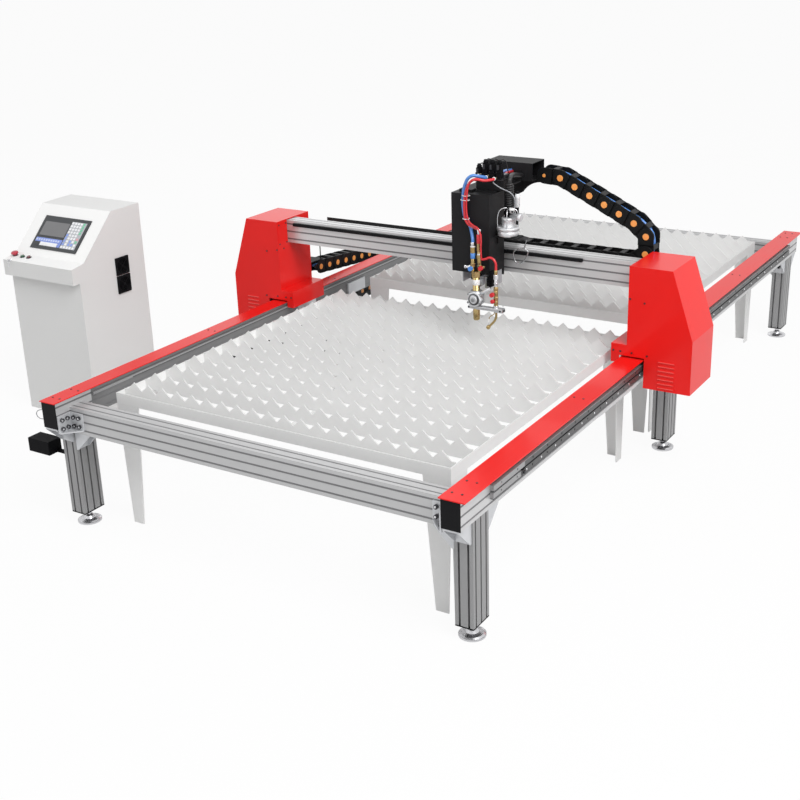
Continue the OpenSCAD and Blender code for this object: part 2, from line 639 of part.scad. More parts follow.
module regulator() color("silver") place() {
  translate([reg_x, reg_y, reg_z]) {
    cylinder(d = 102, h = 26);
    translate([0, 0, 26]) cylinder(d = 107, h = 16);
    translate([0, 0, 36]) cylinder(d = 50, h = 50);
    translate([0, 0, 86]) cylinder(d = 36, h = 20);
    for (a = [35, 155, 275]) rotate(a) translate([45, 0, 30]) cylinder(d = 5, h = 78);
    translate([0, 0, 104]) difference() {
      cylinder(d = 96, h = 5);
      translate([0, 0, -1]) cylinder(d = 84, h = 7);
    }
    translate([-46, -3, 100]) cube([92, 6, 6]);
    translate([20, 0, 100]) rotate([0, 90, 0]) cylinder(d = 28, h = 62);
    translate([0, 0, 106]) cylinder(d = 30, h = 96);
  }
  span([lx + lifter_w, reg_y - 40, reg_z - 8], [reg_x + 84, reg_y + 40, reg_z]);
}

// lifter slide and torches
module lifter_slide() color("gray") place() {
  span([lx + 18, box_y2 - 22, box_z - 70], [lx + lifter_w - 4, box_y2 - 16, box_z + 180]);
  for (x = [lx + 18, lx + lifter_w - 8]) span([x, box_y2 - 80, box_z - 70], [x + 4, box_y2 - 22, box_z + 60]);
  span([lx + 120, torch_y + 30, box_z - 60], [lx + 156, box_y2 - 22, box_z - 12]);
  span([torch_x - 4, torch_y + 16 + fit, box_z - 48], [torch_x + 24, torch_y + 30, box_z - 20]);
}
module cutting_torch() color("goldenrod") place() {
  translate([torch_x, torch_y, 0]) {
    for (s = [0, 1]) translate([s * 34 - 17, 0, 0]) {
      translate([0, 0, box_z + 18]) cylinder(d = 20, h = 60);
      translate([0, 0, box_z + 70]) cylinder(d = 25, h = 30);
      translate([0, 0, box_z + 98]) cylinder(d = 18, h = tube_top[s] - 98);
    }
    translate([0, 0, box_z - 8]) cylinder(d = 48, h = 30);
    translate([0, 0, tip_z + 136]) cylinder(d = 32, h = box_z - tip_z - 140);
    translate([0, 0, tip_z + 62]) cylinder(d = 46, h = 78);
    translate([2, 20, tip_z + 108]) rotate([90, 0, 0]) cylinder(d = 80, h = 42);
    translate([0, 0, tip_z + 36]) cylinder(d = 38, h = 28);
    translate([0, 0, tip_z]) cylinder(r1 = 15, r2 = 19, h = 40);
  }
  span([torch_x - 40, torch_y - 13, tip_z + 56], [pilot_x + 40, torch_y + 13, tip_z + 72]);
  for (p = stem_at) translate([torch_x + p[0], torch_y, box_z + p[1]]) rotate([90, 0, 0]) cylinder(d = 9, h = 24);
  translate([torch_x - 60, torch_y, box_z + 38]) rotate([0, 90, 0]) cylinder(d = 14, h = 60);
  translate([torch_x + 17, torch_y, box_z + 46]) rotate([0, 90, 0]) cylinder(d = 12, h = 27);
}
tube_top = [153, 170];
stem_at = [[-16, 38], [38, 46]];
module pilot_torch() color("goldenrod") place() {
  translate([pilot_x, torch_y, tip_z + 72]) {
    cylinder(d = 24, h = 74);
    translate([0, 0, 74]) cylinder(d = 18, h = 66);
    translate([0, 0, 140]) cylinder(d = 24, h = 44, $fn = 6);
  }
  translate([pilot_x, torch_y, tip_z + 22]) cylinder(d = 12, h = 34);
  translate([pilot_x, torch_y, tip_z + 22]) sphere(d = 12);
  translate([pilot_x, torch_y, tip_z + 22]) rotate([0, 180 + 38, 0]) cylinder(d = 11, h = 48);
  translate([pilot_x - 28, torch_y, tip_z - 14]) rotate([0, 180 + 38, 0]) cylinder(r1 = 7, r2 = 10, h = 18);
  translate([pilot_x - 10, torch_y, tip_z + pilot_stem_z]) rotate([90, 0, 0]) cylinder(d = 9, h = 18);
}
pilot_stem_z = 140;
module knob(x, z, y) translate([x, y, z]) rotate([90, 0, 0]) {
  difference() {
    cylinder(d = 22, h = 14, $fn = 10);
    translate([0, 0, -1]) cylinder(d = 9.6, h = 9);
  }
}
module torch_knob(p) knob(torch_x + p[0], box_z + p[1], torch_y - 20);
module knob_oxygen() color("steelblue") place() torch_knob(stem_at[0]);
module knob_fuel() color("red") place() torch_knob(stem_at[1]);
module knob_pilot() color("red") place() knob(pilot_x - 10, tip_z + pilot_stem_z, torch_y - 14);

// a round tube through points, smoothed between them
function spline(p, i, t) = let (n = len(p), a = p[max(i - 1, 0)], b = p[i], c = p[min(i + 1, n - 1)],
  d = p[min(i + 2, n - 1)]) 0.5 * ((2 * b) + (c - a) * t + (2 * a - 5 * b + 4 * c - d) * t * t
  + (3 * b - a - 3 * c + d) * t * t * t);
function smooth(p, k) = concat([for (i = [0:len(p) - 2], j = [0:k - 1]) spline(p, i, j / k)],
    [p[len(p) - 1]]);
function unit(v) = v / norm(v);
function side_of(t, s) = unit(s - t * (s * t));
function frames(q, i, s) = let (t = unit(q[min(i + 1, len(q) - 1)] - q[max(i - 1, 0)]), u = side_of(t, s))
  i == len(q) - 1 ? [[u, cross(t, u)]] : concat([[u, cross(t, u)]], frames(q, i + 1, u));
module tube(points, d, k = 4, n = 10) {
  last = len(points) - 1;
  q = concat([points[0]], smooth([for (i = [1:last - 1]) points[i]], k), [points[last]]);
  f = frames(q, 0, [0.31, 0.9, 0.27]);
  m = len(q);
  verts = [for (i = [0:m - 1], j = [0:n - 1]) q[i] + d / 2 * (cos(360 * j / n) * f[i][0] + sin(360 * j / n) * f[i][1])];
  sides = [for (i = [0:m - 2], j = [0:n - 1]) each
    let (a = i * n + j, b = i * n + (j + 1) % n) [[a, b + n, b], [a, a + n, b + n]]];
  polyhedron(verts, concat([[for (j = [0:n - 1]) j]], sides, [[for (j = [n - 1:-1:0]) (m - 1) * n + j]]), convexity = 6);
}
hose_y = box_y - 18;
module hoses() color("firebrick") place() {
  tube([[valve_at[0][0] + 15, valve_at[0][1] - 20, valve_z + 12],
    [valve_at[0][0] + 15, valve_at[0][1] - 34, valve_z + 12],
    [lx + 96, box_y + 6, valve_z + 14], [lx + 80, hose_y + 5, lifter_top + 36],
    [lx + 71, hose_y + 5, lifter_top - 30], [lx + 72, hose_y + 6, lifter_top - 98],
    [lx + 92, hose_y + 7, lifter_top - 134],
    [lx + 116, hose_y + 2, lifter_top - 172], [torch_x - 17, torch_y, box_z + 174],
    [torch_x - 17, torch_y, box_z + tube_top[0] + fit]], 13);
  tube([[valve_at[2][0] + 15, valve_at[2][1] - 20, valve_z + 28],
    [valve_at[2][0] + 15, valve_at[2][1] - 34, valve_z + 28],
    [lx + 150, box_y + 8, valve_z + 28], [lx + 114, hose_y, lifter_top + 66],
    [lx + 94, hose_y - 4, lifter_top + 14], [lx + 86, hose_y - 4, lifter_top - 60],
    [lx + 96, hose_y - 6, lifter_top - 124],
    [lx + 138, hose_y - 10, lifter_top - 152], [torch_x + 13, torch_y, box_z + 206],
    [torch_x + 17, torch_y, box_z + 190],
    [torch_x + 17, torch_y, box_z + tube_top[1] + fit]], 13);
  tube([[torch_x + 30, torch_y, box_z + 82], [torch_x + 40, torch_y, box_z + 82],
    [torch_x + 68, torch_y, box_z + 93], [pilot_x - 16, torch_y, box_z + 90], [pilot_x, torch_y, box_z + 58],
    [pilot_x, torch_y, tip_z + 256 + fit]], 10);
  tube([[reg_x, reg_y, reg_z + 202 + fit], [reg_x, reg_y, reg_z + 216], [reg_x - 12, reg_y + 50, reg_z + 240],
    [reg_x - 40, reg_y + 130, reg_z + 246], [reg_x - 48, xchain_y - 66, reg_z + 246],
    [reg_x - 48, xchain_y - 44.4, reg_z + 246]], 22);
}

rail_left();
rail_right();
profile_caps();
cover_left();
cover_right();
crossbeams();
legs();
foot_fl();
foot_fr();
foot_ml();
foot_mr();
foot_rl();
foot_rr();
cast_brackets();
frame_bolts();
rail_guides();
racks();
junction_box();
ychain_tray();
ychain_arm();
ychain_lower();
ychain_bend();
ychain_upper();
bed_front_frame();
bed_front_slats();
bed_rear_frame();
bed_rear_slats();
console_body();
console_panel();
fan_grilles();
fan_upper();
fan_lower();
estop();
button_start();
button_stop();
beam();
beam_guide();
gantry_ends();
gantry_drives();
housing_left();
housing_right();
housing_screws();
pinion_left();
pinion_right();
xchain_tray();
xchain_lower();
xchain_bend();
xchain_upper();
carriage_plate();
torch_box();
trunking();
gas_valves();
regulator();
lifter_slide();
cutting_torch();
pilot_torch();
knob_oxygen();
knob_fuel();
knob_pilot();
hoses();
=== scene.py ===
"""A gantry cutting table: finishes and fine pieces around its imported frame."""

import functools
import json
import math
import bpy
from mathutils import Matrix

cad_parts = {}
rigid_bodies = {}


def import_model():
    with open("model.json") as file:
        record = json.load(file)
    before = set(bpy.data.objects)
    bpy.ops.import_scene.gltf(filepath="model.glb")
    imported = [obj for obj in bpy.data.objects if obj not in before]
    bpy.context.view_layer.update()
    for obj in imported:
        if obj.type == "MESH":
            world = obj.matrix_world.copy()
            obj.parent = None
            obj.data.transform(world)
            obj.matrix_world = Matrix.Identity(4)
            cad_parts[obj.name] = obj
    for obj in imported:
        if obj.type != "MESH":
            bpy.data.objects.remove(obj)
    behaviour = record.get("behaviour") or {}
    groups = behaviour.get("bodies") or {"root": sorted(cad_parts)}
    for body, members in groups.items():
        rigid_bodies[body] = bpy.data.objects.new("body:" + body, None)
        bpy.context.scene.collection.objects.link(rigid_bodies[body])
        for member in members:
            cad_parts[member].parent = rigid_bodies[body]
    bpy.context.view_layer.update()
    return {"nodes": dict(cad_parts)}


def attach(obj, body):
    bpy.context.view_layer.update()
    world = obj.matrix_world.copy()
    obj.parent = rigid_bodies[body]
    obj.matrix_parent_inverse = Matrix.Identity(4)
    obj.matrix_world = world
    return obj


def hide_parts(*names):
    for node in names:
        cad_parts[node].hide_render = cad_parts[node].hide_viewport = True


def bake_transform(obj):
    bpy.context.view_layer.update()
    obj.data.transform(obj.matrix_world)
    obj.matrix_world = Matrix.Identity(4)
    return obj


bl_info = {
    "name": "Cutting Table",
    "version": (1, 0, 0),
    "blender": (4, 5, 0),
    "location": "3D View > Sidebar > Cutting Table",
    "description": "Builds the finishes, cable chains, hoses and small parts of a gantry cutting table",
    "category": "Object",
}

import bmesh
import bpy
from mathutils import Euler, Vector

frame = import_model()
NODES = frame["nodes"]
ORIGIN = (-522.0, 2140.0)  # where the frame's origin lies from the front end's middle
UP, FRONT = (0, 0, 1), (0, -1, 0)


def at(x, y, z):
    """A point in millimetres from the front end's middle, turned into the frame's metres."""
    return Vector(((x - ORIGIN[0]) / 1000, (y - ORIGIN[1]) / 1000, z / 1000))


# Shader maths

class Reading:
    """A value in a shader's tree. Sums written on it add the Math nodes."""

    def __init__(self, finish, socket):
        self.finish = finish
        self.socket = socket

    def _sum(self, operation, *parts):
        return self.finish.node("ShaderNodeMath", {"operation": operation}, dict(enumerate(parts)))

    def __add__(self, other):
        return self._sum("ADD", self, other)

    def __sub__(self, other):
        return self._sum("SUBTRACT", self, other)

    def __rsub__(self, other):
        return self._sum("SUBTRACT", other, self)

    def __mul__(self, other):
        return self._sum("MULTIPLY", self, other)

    __radd__ = __add__
    __rmul__ = __mul__

    def above(self, edge, soft=0.0):
        """1 where the value passes edge, over a soft width."""
        if soft:
            return self.finish.ramp(self, edge - soft / 2, edge + soft / 2)
        return self._sum("GREATER_THAN", self, edge)

    def most(self, other):
        return self._sum("MAXIMUM", self, other)


class Finish:
    """The shader of a new material, or of the world, and the nodes that vary it."""

    def __init__(self, name, world=None):
        self.owner = world or bpy.data.materials.new(name)
        self.owner.use_nodes = True
        self.tree = self.owner.node_tree
        self.tree.nodes.clear()
        self.output = self.tree.nodes.new("ShaderNodeOutputWorld" if world else "ShaderNodeOutputMaterial")
        self.shader = self.tree.nodes.new("ShaderNodeBackground" if world else "ShaderNodeBsdfPrincipled")
        self.tree.links.new(self.shader.outputs[0], self.output.inputs[0])

    def node(self, kind, settings=None, inputs=None, output=0):
        made = self.tree.nodes.new(kind)
        for key, value in (settings or {}).items():
            setattr(made, key, value)
        for key, value in (inputs or {}).items():
            self.feed(made.inputs[key], value)
        return Reading(self, made.outputs[output])

    def feed(self, socket, value):
        if isinstance(value, Reading):
            self.tree.links.new(value.socket, socket)
        elif isinstance(value, tuple) and len(value) == 3 and socket.type == "RGBA":
            socket.default_value = (*value, 1)
        else:
            socket.default_value = value

    def place(self, stretch=(1, 1, 1)):
        """Object coordinates, stretched for grain and brushing."""
        point = self.node("ShaderNodeTexCoord", output="Object")
        return self.node("ShaderNodeMapping", {}, {"Vector": point, "Scale": stretch})

    def part(self, axis, vector=None):
        """One number of a vector: without one, how far along an axis a point lies."""
        return self.node("ShaderNodeSeparateXYZ", {}, {"Vector": vector or self.place()}, axis)

    def facing_up(self):
        return self.part(2, self.node("ShaderNodeNewGeometry", output="Normal"))

    def noise(self, scale, stretch=(1, 1, 1), detail=3.0, rough=0.5):
        inputs = {"Vector": self.place(stretch), "Scale": scale, "Detail": detail, "Roughness": rough}
        return self.node("ShaderNodeTexNoise", {}, inputs, "Fac")

    def ramp(self, value, low, high):
        return self.node("ShaderNodeMapRange", {"clamp": True},
                         {"Value": value, "From Min": low, "From Max": high})

    def mix(self, factor, first, second):
        return self.node("ShaderNodeMix", {"data_type": "RGBA"}, {0: factor, 6: first, 7: second}, 2)

    def bump(self, height, depth, strength=1.0):
        """Height in millimetres times depth, as a normal."""
        return self.node("ShaderNodeBump", {},
                         {"Height": height, "Distance": depth / 1000, "Strength": strength})

    def set(self, **values):
        for key, value in values.items():
            self.feed(self.shader.inputs[key.replace("_", " ")], value)
        return self

    def plain_to_the_eye(self, kind, share):
        """Shows plain white by a share to the camera, in reflections and through glass."""
        camera, glossy, through = (self.node("ShaderNodeLightPath", output=ray) for ray in (
            "Is Camera Ray", "Is Glossy Ray", "Is Transmission Ray"))
        parts = {0: camera.most(glossy).most(through) * share, 1: Reading(self, self.shader.outputs[0]),
                 2: self.node(kind, {}, {"Color": (1, 1, 1), "Strength": 1.0})}
        self.tree.links.new(self.node("ShaderNodeMixShader", {}, parts).socket, self.output.inputs[0])
        return self.owner


def shade(colour, amount):
    return tuple(channel * amount for channel in colour)


GRAIN_ALONG, GRAIN_ACROSS = 0.6, 90.0


def brushed_profile(name, colour, along, painted_shade_from=None):
    """Anodised extrusion with its die lines running along one axis, with painted shade past a place on its y
    axis.
    """
    made = Finish(name)
    lines = made.noise(6.0, tuple(GRAIN_ALONG if i == along else GRAIN_ACROSS for i in range(3)), 4.0, 0.65)
    cloud = made.noise(3.0, detail=2.0)
    tone = made.mix(lines, shade(colour, 0.95), shade(colour, 1.04))
    tone = made.mix(cloud * 0.15, tone, shade(colour, 0.88))
    # Painted shade: darker past that place on the y axis.
    if painted_shade_from is not None:
        tone = made.mix(made.part(1).above(painted_shade_from), tone, shade(colour, 0.36))
    return made.set(Base_Color=tone, Metallic=0.5, Roughness=lines * 0.12 + 0.30,
                    Normal=made.bump(lines, 0.05, 0.3)).owner


def cloudy_tone(made, cloud, colour):
    return made.mix(cloud, shade(colour, 0.93), shade(colour, 1.05))


def bed_tone_painted_shade(made, cloud, colour):
    """Painted shade: a darker grey on the cut edges that look up."""
    tone = made.mix(cloud, shade(colour, 0.96), shade(colour, 1.04))
    return made.mix(made.facing_up().above(0.3, 0.2), tone, shade(colour, 0.8))


def console_tone_painted_light(made, cloud, colour):
    """Painted light: lighter on the faces that look up, most of all on the ledge and the sloping face."""
    up = made.facing_up()
    high = up.above(0.5)
    slope = high * (1 - up.above(0.9) * made.part(2).above(1.0))
    tone = made.mix(slope, made.mix(high, shade(colour, 1.0), shade(colour, 1.1)), shade(colour, 1.28))
    return made.mix(cloud * 0.1, tone, shade(colour, 0.9))


def sprayed(name, colour, rough=0.28, coat=0.6, peel=0.05, shine=0.5, tone=cloudy_tone):
    """Powder coat: fine orange peel, slight cloudiness, a clear top."""
    made = Finish(name)
    skin, cloud = made.noise(420.0, detail=2.0), made.noise(5.0, detail=4.0)
    return made.set(Base_Color=tone(made, cloud, colour), Roughness=cloud * 0.08 + rough, Coat_Weight=coat,
                    Coat_Roughness=0.08, Specular_IOR_Level=shine, Normal=made.bump(skin, peel, 0.6)).owner


def moulded(name, colour, rough=0.4, grain=0.08, coat=0.0, shine=0.5):
    """Moulded plastic with a fine spark-eroded grain."""
    made = Finish(name)
    grit, cloud = made.noise(900.0, detail=2.0), made.noise(9.0)
    tone = made.mix(cloud, shade(colour, 0.88), shade(colour, 1.12))
    return made.set(Base_Color=tone, Roughness=grit * 0.12 + (rough - 0.06), Coat_Weight=coat,
                    Coat_Roughness=0.1, Specular_IOR_Level=shine, Normal=made.bump(grit, grain, 0.5)).owner


def machined(name, colour, rough=0.3, metal=0.9, depth=0.1, scale=140.0):
    """Turned, cast or plated metal with fine marks and stains."""
    made = Finish(name)
    marks, stain = made.noise(scale, detail=4.0, rough=0.6), made.noise(14.0, detail=4.0)
    tone = made.mix(stain, shade(colour, 0.8), shade(colour, 1.08))
    return made.set(Base_Color=tone, Metallic=metal, Roughness=marks * 0.2 + rough - 0.1,
                    Normal=made.bump(marks, depth, 0.6)).owner


def side_bar(name, bare_above, bare_colour):
    """Bar on a rail's side: bare metal above a height and before the end stop, oiled and dark elsewhere."""
    made = Finish(name)
    bare = made.part(2).above(bare_above / 1000).most(1 - made.part(1).above(at(0, 470, 0).y))
    marks = made.noise(300.0, detail=4.0)
    dark = made.mix(marks, (0.085, 0.085, 0.087), (0.115, 0.115, 0.117))
    bright = made.mix(marks, shade(bare_colour, 0.92), shade(bare_colour, 1.08))
    return made.set(Base_Color=made.mix(bare, dark, bright), Metallic=0.6, Roughness=marks * 0.15 + 0.32,
                    Normal=made.bump(marks, 0.05, 0.4)).owner


def screen_glass(name, dark, light):
    made = Finish(name)
    return made.set(Base_Color=made.mix(made.noise(8.0), dark, light), Roughness=0.16, Coat_Weight=0.5).owner


# Sizes and colours

def length(name, description, default):
    return bpy.props.FloatProperty(name=name, description=description, default=default, unit="LENGTH")


def tint(name, description, *default):
    return bpy.props.FloatVectorProperty(name=name, description=description, default=default, subtype="COLOR")


class CUTTER_PG_sizes(bpy.types.PropertyGroup):
    """Sizes that can be changed before the pieces are made."""
    pitch: length("Link pitch", "Distance between the pins of a chain link", 0.084)
    link_height: length("Link height", "Height of a link's side plates", 0.078)
    link_width: length("Link width", "Width of a cable chain over its side plates", 0.084)
    pin_cap: length("Pin cap", "Diameter of the round cap on each pin", 0.031)
    gas_hose: length("Gas hose", "Diameter of the gas hoses to the torch", 0.013)
    bolt_step: length("Bolt step", "Distance between the bolts of a rack", 0.1277)
    key_step: length("Key step", "Distance between the keys of the console", 0.0225)


class CUTTER_PG_colours(bpy.types.PropertyGroup):
    """Colours of the finishes."""
    paint: tint("Cover paint", "Gloss coat of covers and housings", 0.75, 0.011, 0.009)
    profile: tint("Profile", "Anodised aluminium of the frame", 0.50, 0.50, 0.505)
    bed: tint("Bed", "Paint of the slat beds", 0.80, 0.80, 0.795)
    console: tint("Console", "Paint of the console", 0.70, 0.70, 0.695)
    coat: tint("Black coat", "Satin black of boxes and trays", 0.012, 0.012, 0.013)
    cap: tint("Pin caps", "Orange of the chain's pin caps", 0.93, 0.37, 0.09)
    oxygen: tint("Oxygen hose", "Blue of the oxygen hose", 0.08, 0.24, 0.62)
    fuel: tint("Fuel hose", "Red of the fuel gas hose", 0.62, 0.02, 0.03)


def sizes():
    return bpy.context.scene.cutter_sizes


def finish_rows():
    """What each finish is made from, in the order in which its maker takes it."""
    c = bpy.context.scene.cutter_colours
    bare_steel = (0.34, 0.34, 0.345)
    return {
        brushed_profile: {
            "profile": (c.profile, 0),
            # Painted shade: a darkened copy of the profile colour for the legs.
            "profile_legs": (shade(c.profile, 0.58), 2),
            # Painted light: a lightened copy of the profile colour for the beam.
            "profile_beam": (shade(c.profile, 1.18), 0),
            # Painted light on the left rail's front end, and painted shade on it past y 215.
            "profile_left": (shade(c.profile, 1.1), 1, at(0, 215, 0).y),
            # Painted light: a lightened copy of the profile colour for the right rail.
            "profile_right": (shade(c.profile, 1.15), 1)},
        sprayed: {
            "paint": (c.paint, 0.26, 0.12, 0.03, 0.16),
            "louvre": ((0.80, 0.07, 0.06), 0.3, 0.2),
            "coat": (c.coat, 0.5, 0.0, 0.12, 0.16),
            "tray": ((0.03, 0.03, 0.031), 0.45, 0.0, 0.12, 0.2),
            "motor": ((0.02, 0.02, 0.022), 0.4, 0.2),
            "bed": (c.bed, 0.5, 0.1, 0.05, 0.5, bed_tone_painted_shade),
            "console": (c.console, 0.5, 0.05, 0.14, 0.3, console_tone_painted_light)},
        moulded: {
            "chain": ((0.008, 0.0085, 0.009), 0.45, 0.08, 0.0, 0.12),
            "crossbar": ((0.020, 0.020, 0.021), 0.5, 0.08, 0.0, 0.15),
            "pin_cap": (c.cap, 0.35),
            "end_cap": ((0.007, 0.007, 0.008), 0.5, 0.08, 0.0, 0.1),
            "box": ((0.005, 0.005, 0.006), 0.55, 0.15, 0.0, 0.06),
            "bezel": ((0.035, 0.038, 0.042),),
            "key_white": ((0.84, 0.85, 0.87),),
            "key_blue": ((0.22, 0.30, 0.70),),
            "key_green": ((0.20, 0.55, 0.36),),
            "key_deep_blue": ((0.26, 0.36, 0.74),),
            "key_pink": ((0.72, 0.36, 0.40),),
            "key_pale": ((0.55, 0.62, 0.84),),
            "key_dark": ((0.03, 0.032, 0.036),),
            "pad_grey": ((0.46, 0.47, 0.50), 0.45),
            "clear_bowl": ((0.72, 0.74, 0.75), 0.12, 0.01, 0.6),
            "stop_red": ((0.44, 0.02, 0.045), 0.3, 0.02, 0.4),
            "start_green": ((0.01, 0.09, 0.035), 0.25, 0.02, 0.6),
            "halt_red": ((0.12, 0.012, 0.02), 0.25, 0.02, 0.6),
            "oxygen": (c.oxygen, 0.35, 0.05, 0.2),
            "fuel": (c.fuel, 0.35, 0.05, 0.2),
            "cable": ((0.012, 0.012, 0.013), 0.45),
            "tie": ((0.8, 0.8, 0.8),),
            "wire": ((0.32, 0.33, 0.35),)},
        machined: {
            "cast": ((0.62, 0.63, 0.65), 0.45, 0.5, 0.3, 300.0),
            "dull": ((0.36, 0.37, 0.38), 0.38, 0.8, 0.3, 300.0),
            "zinc": ((0.62, 0.62, 0.64), 0.28, 0.95),
            "steel": ((0.09, 0.09, 0.095), 0.35, 0.7),
            "slot_strip": ((0.20, 0.20, 0.205), 0.4, 0.55),
            "bolt": ((0.04, 0.04, 0.045), 0.35, 0.6),
            "bright_bolt": ((0.7, 0.7, 0.72), 0.22, 1.0),
            "brass": ((0.44, 0.33, 0.15), 0.28, 1.0),
            "chrome": ((0.72, 0.72, 0.74), 0.18, 1.0, 0.03),
            "alloy": ((0.66, 0.67, 0.69), 0.3, 0.85),
            "slide": ((0.42, 0.43, 0.45), 0.45, 0.4),
            "satin": ((0.70, 0.71, 0.73), 0.42, 0.55),
            "hook": ((0.45, 0.46, 0.47), 0.25, 1.0, 0.2, 90.0)},
        side_bar: {"guide": (604, bare_steel), "rack": (700, bare_steel)},
        screen_glass: {"screen": ((0.13, 0.13, 0.135), (0.16, 0.16, 0.165))},
    }


@functools.cache
def finish(name):
    """The named finish, made at its first use."""
    maker, rows = next(item for item in finish_rows().items() if name in item[1])
    return maker(name, *rows[name])


NODE_FINISHES = {
    # The rails, beam and legs take lit and shaded copies of the profile finish, which are painted light and
    # painted shade.
    "profile_left": "rail_left",
    "profile_right": "rail_right",
    "profile": "crossbeams",
    "profile_beam": "beam",
    "profile_legs": "legs",
    "paint": "cover_left cover_right housing_left housing_right",
    "end_cap": "profile_caps beam_guide",
    "cast": "cast_brackets",
    "zinc": "foot_fl foot_fr foot_ml foot_mr foot_rl foot_rr pinion_left pinion_right",
    "bolt": "frame_bolts housing_screws gas_valves",
    "guide": "rail_guides",
    "rack": "racks",
    "box": "junction_box fan_grilles fan_upper fan_lower",
    "coat": "ychain_tray ychain_arm xchain_tray carriage_plate torch_box trunking",
    "alloy": "gantry_ends regulator",
    "motor": "gantry_drives",
    "bed": "bed_front_frame bed_front_slats bed_rear_frame bed_rear_slats",
    "console": "console_body",
    "bezel": "console_panel",
    "stop_red": "estop",
    "start_green": "button_start",
    "halt_red": "button_stop",
    "slide": "lifter_slide",
    "brass": "cutting_torch pilot_torch",
    "oxygen": "knob_oxygen",
    "fuel": "knob_fuel knob_pilot hoses",
}


# Mesh making

def circle(count, ends=0):
    """Angles once round, with the first again at the end of a closed line."""
    return [math.tau * i / count for i in range(count + ends)]


def course(points, size=3):
    """Points as they are, or from a line of numbers, so many to a point."""
    if not isinstance(points, str):
        return points
    numbers = [float(number) for number in points.split()]
    return [numbers[i:i + size] for i in range(0, len(numbers), size)]


def smooth_line(points, steps):
    """Points on a curve that passes through every given point."""
    points = [Vector(p) for p in points]
    line = []
    for i in range(len(points) - 1):
        a, b, c, d = points[max(i - 1, 0)], points[i], points[i + 1], points[min(i + 2, len(points) - 1)]
        for t in (k / steps for k in range(steps)):
            line.append(0.5 * (2 * b + (c - a) * t + (2 * a - 5 * b + 4 * c - d) * t * t
                               + (3 * b - a - 3 * c + d) * t * t * t))
    return line + [points[-1]]


def link(obj):
    bpy.context.scene.collection.objects.link(obj)
    return obj


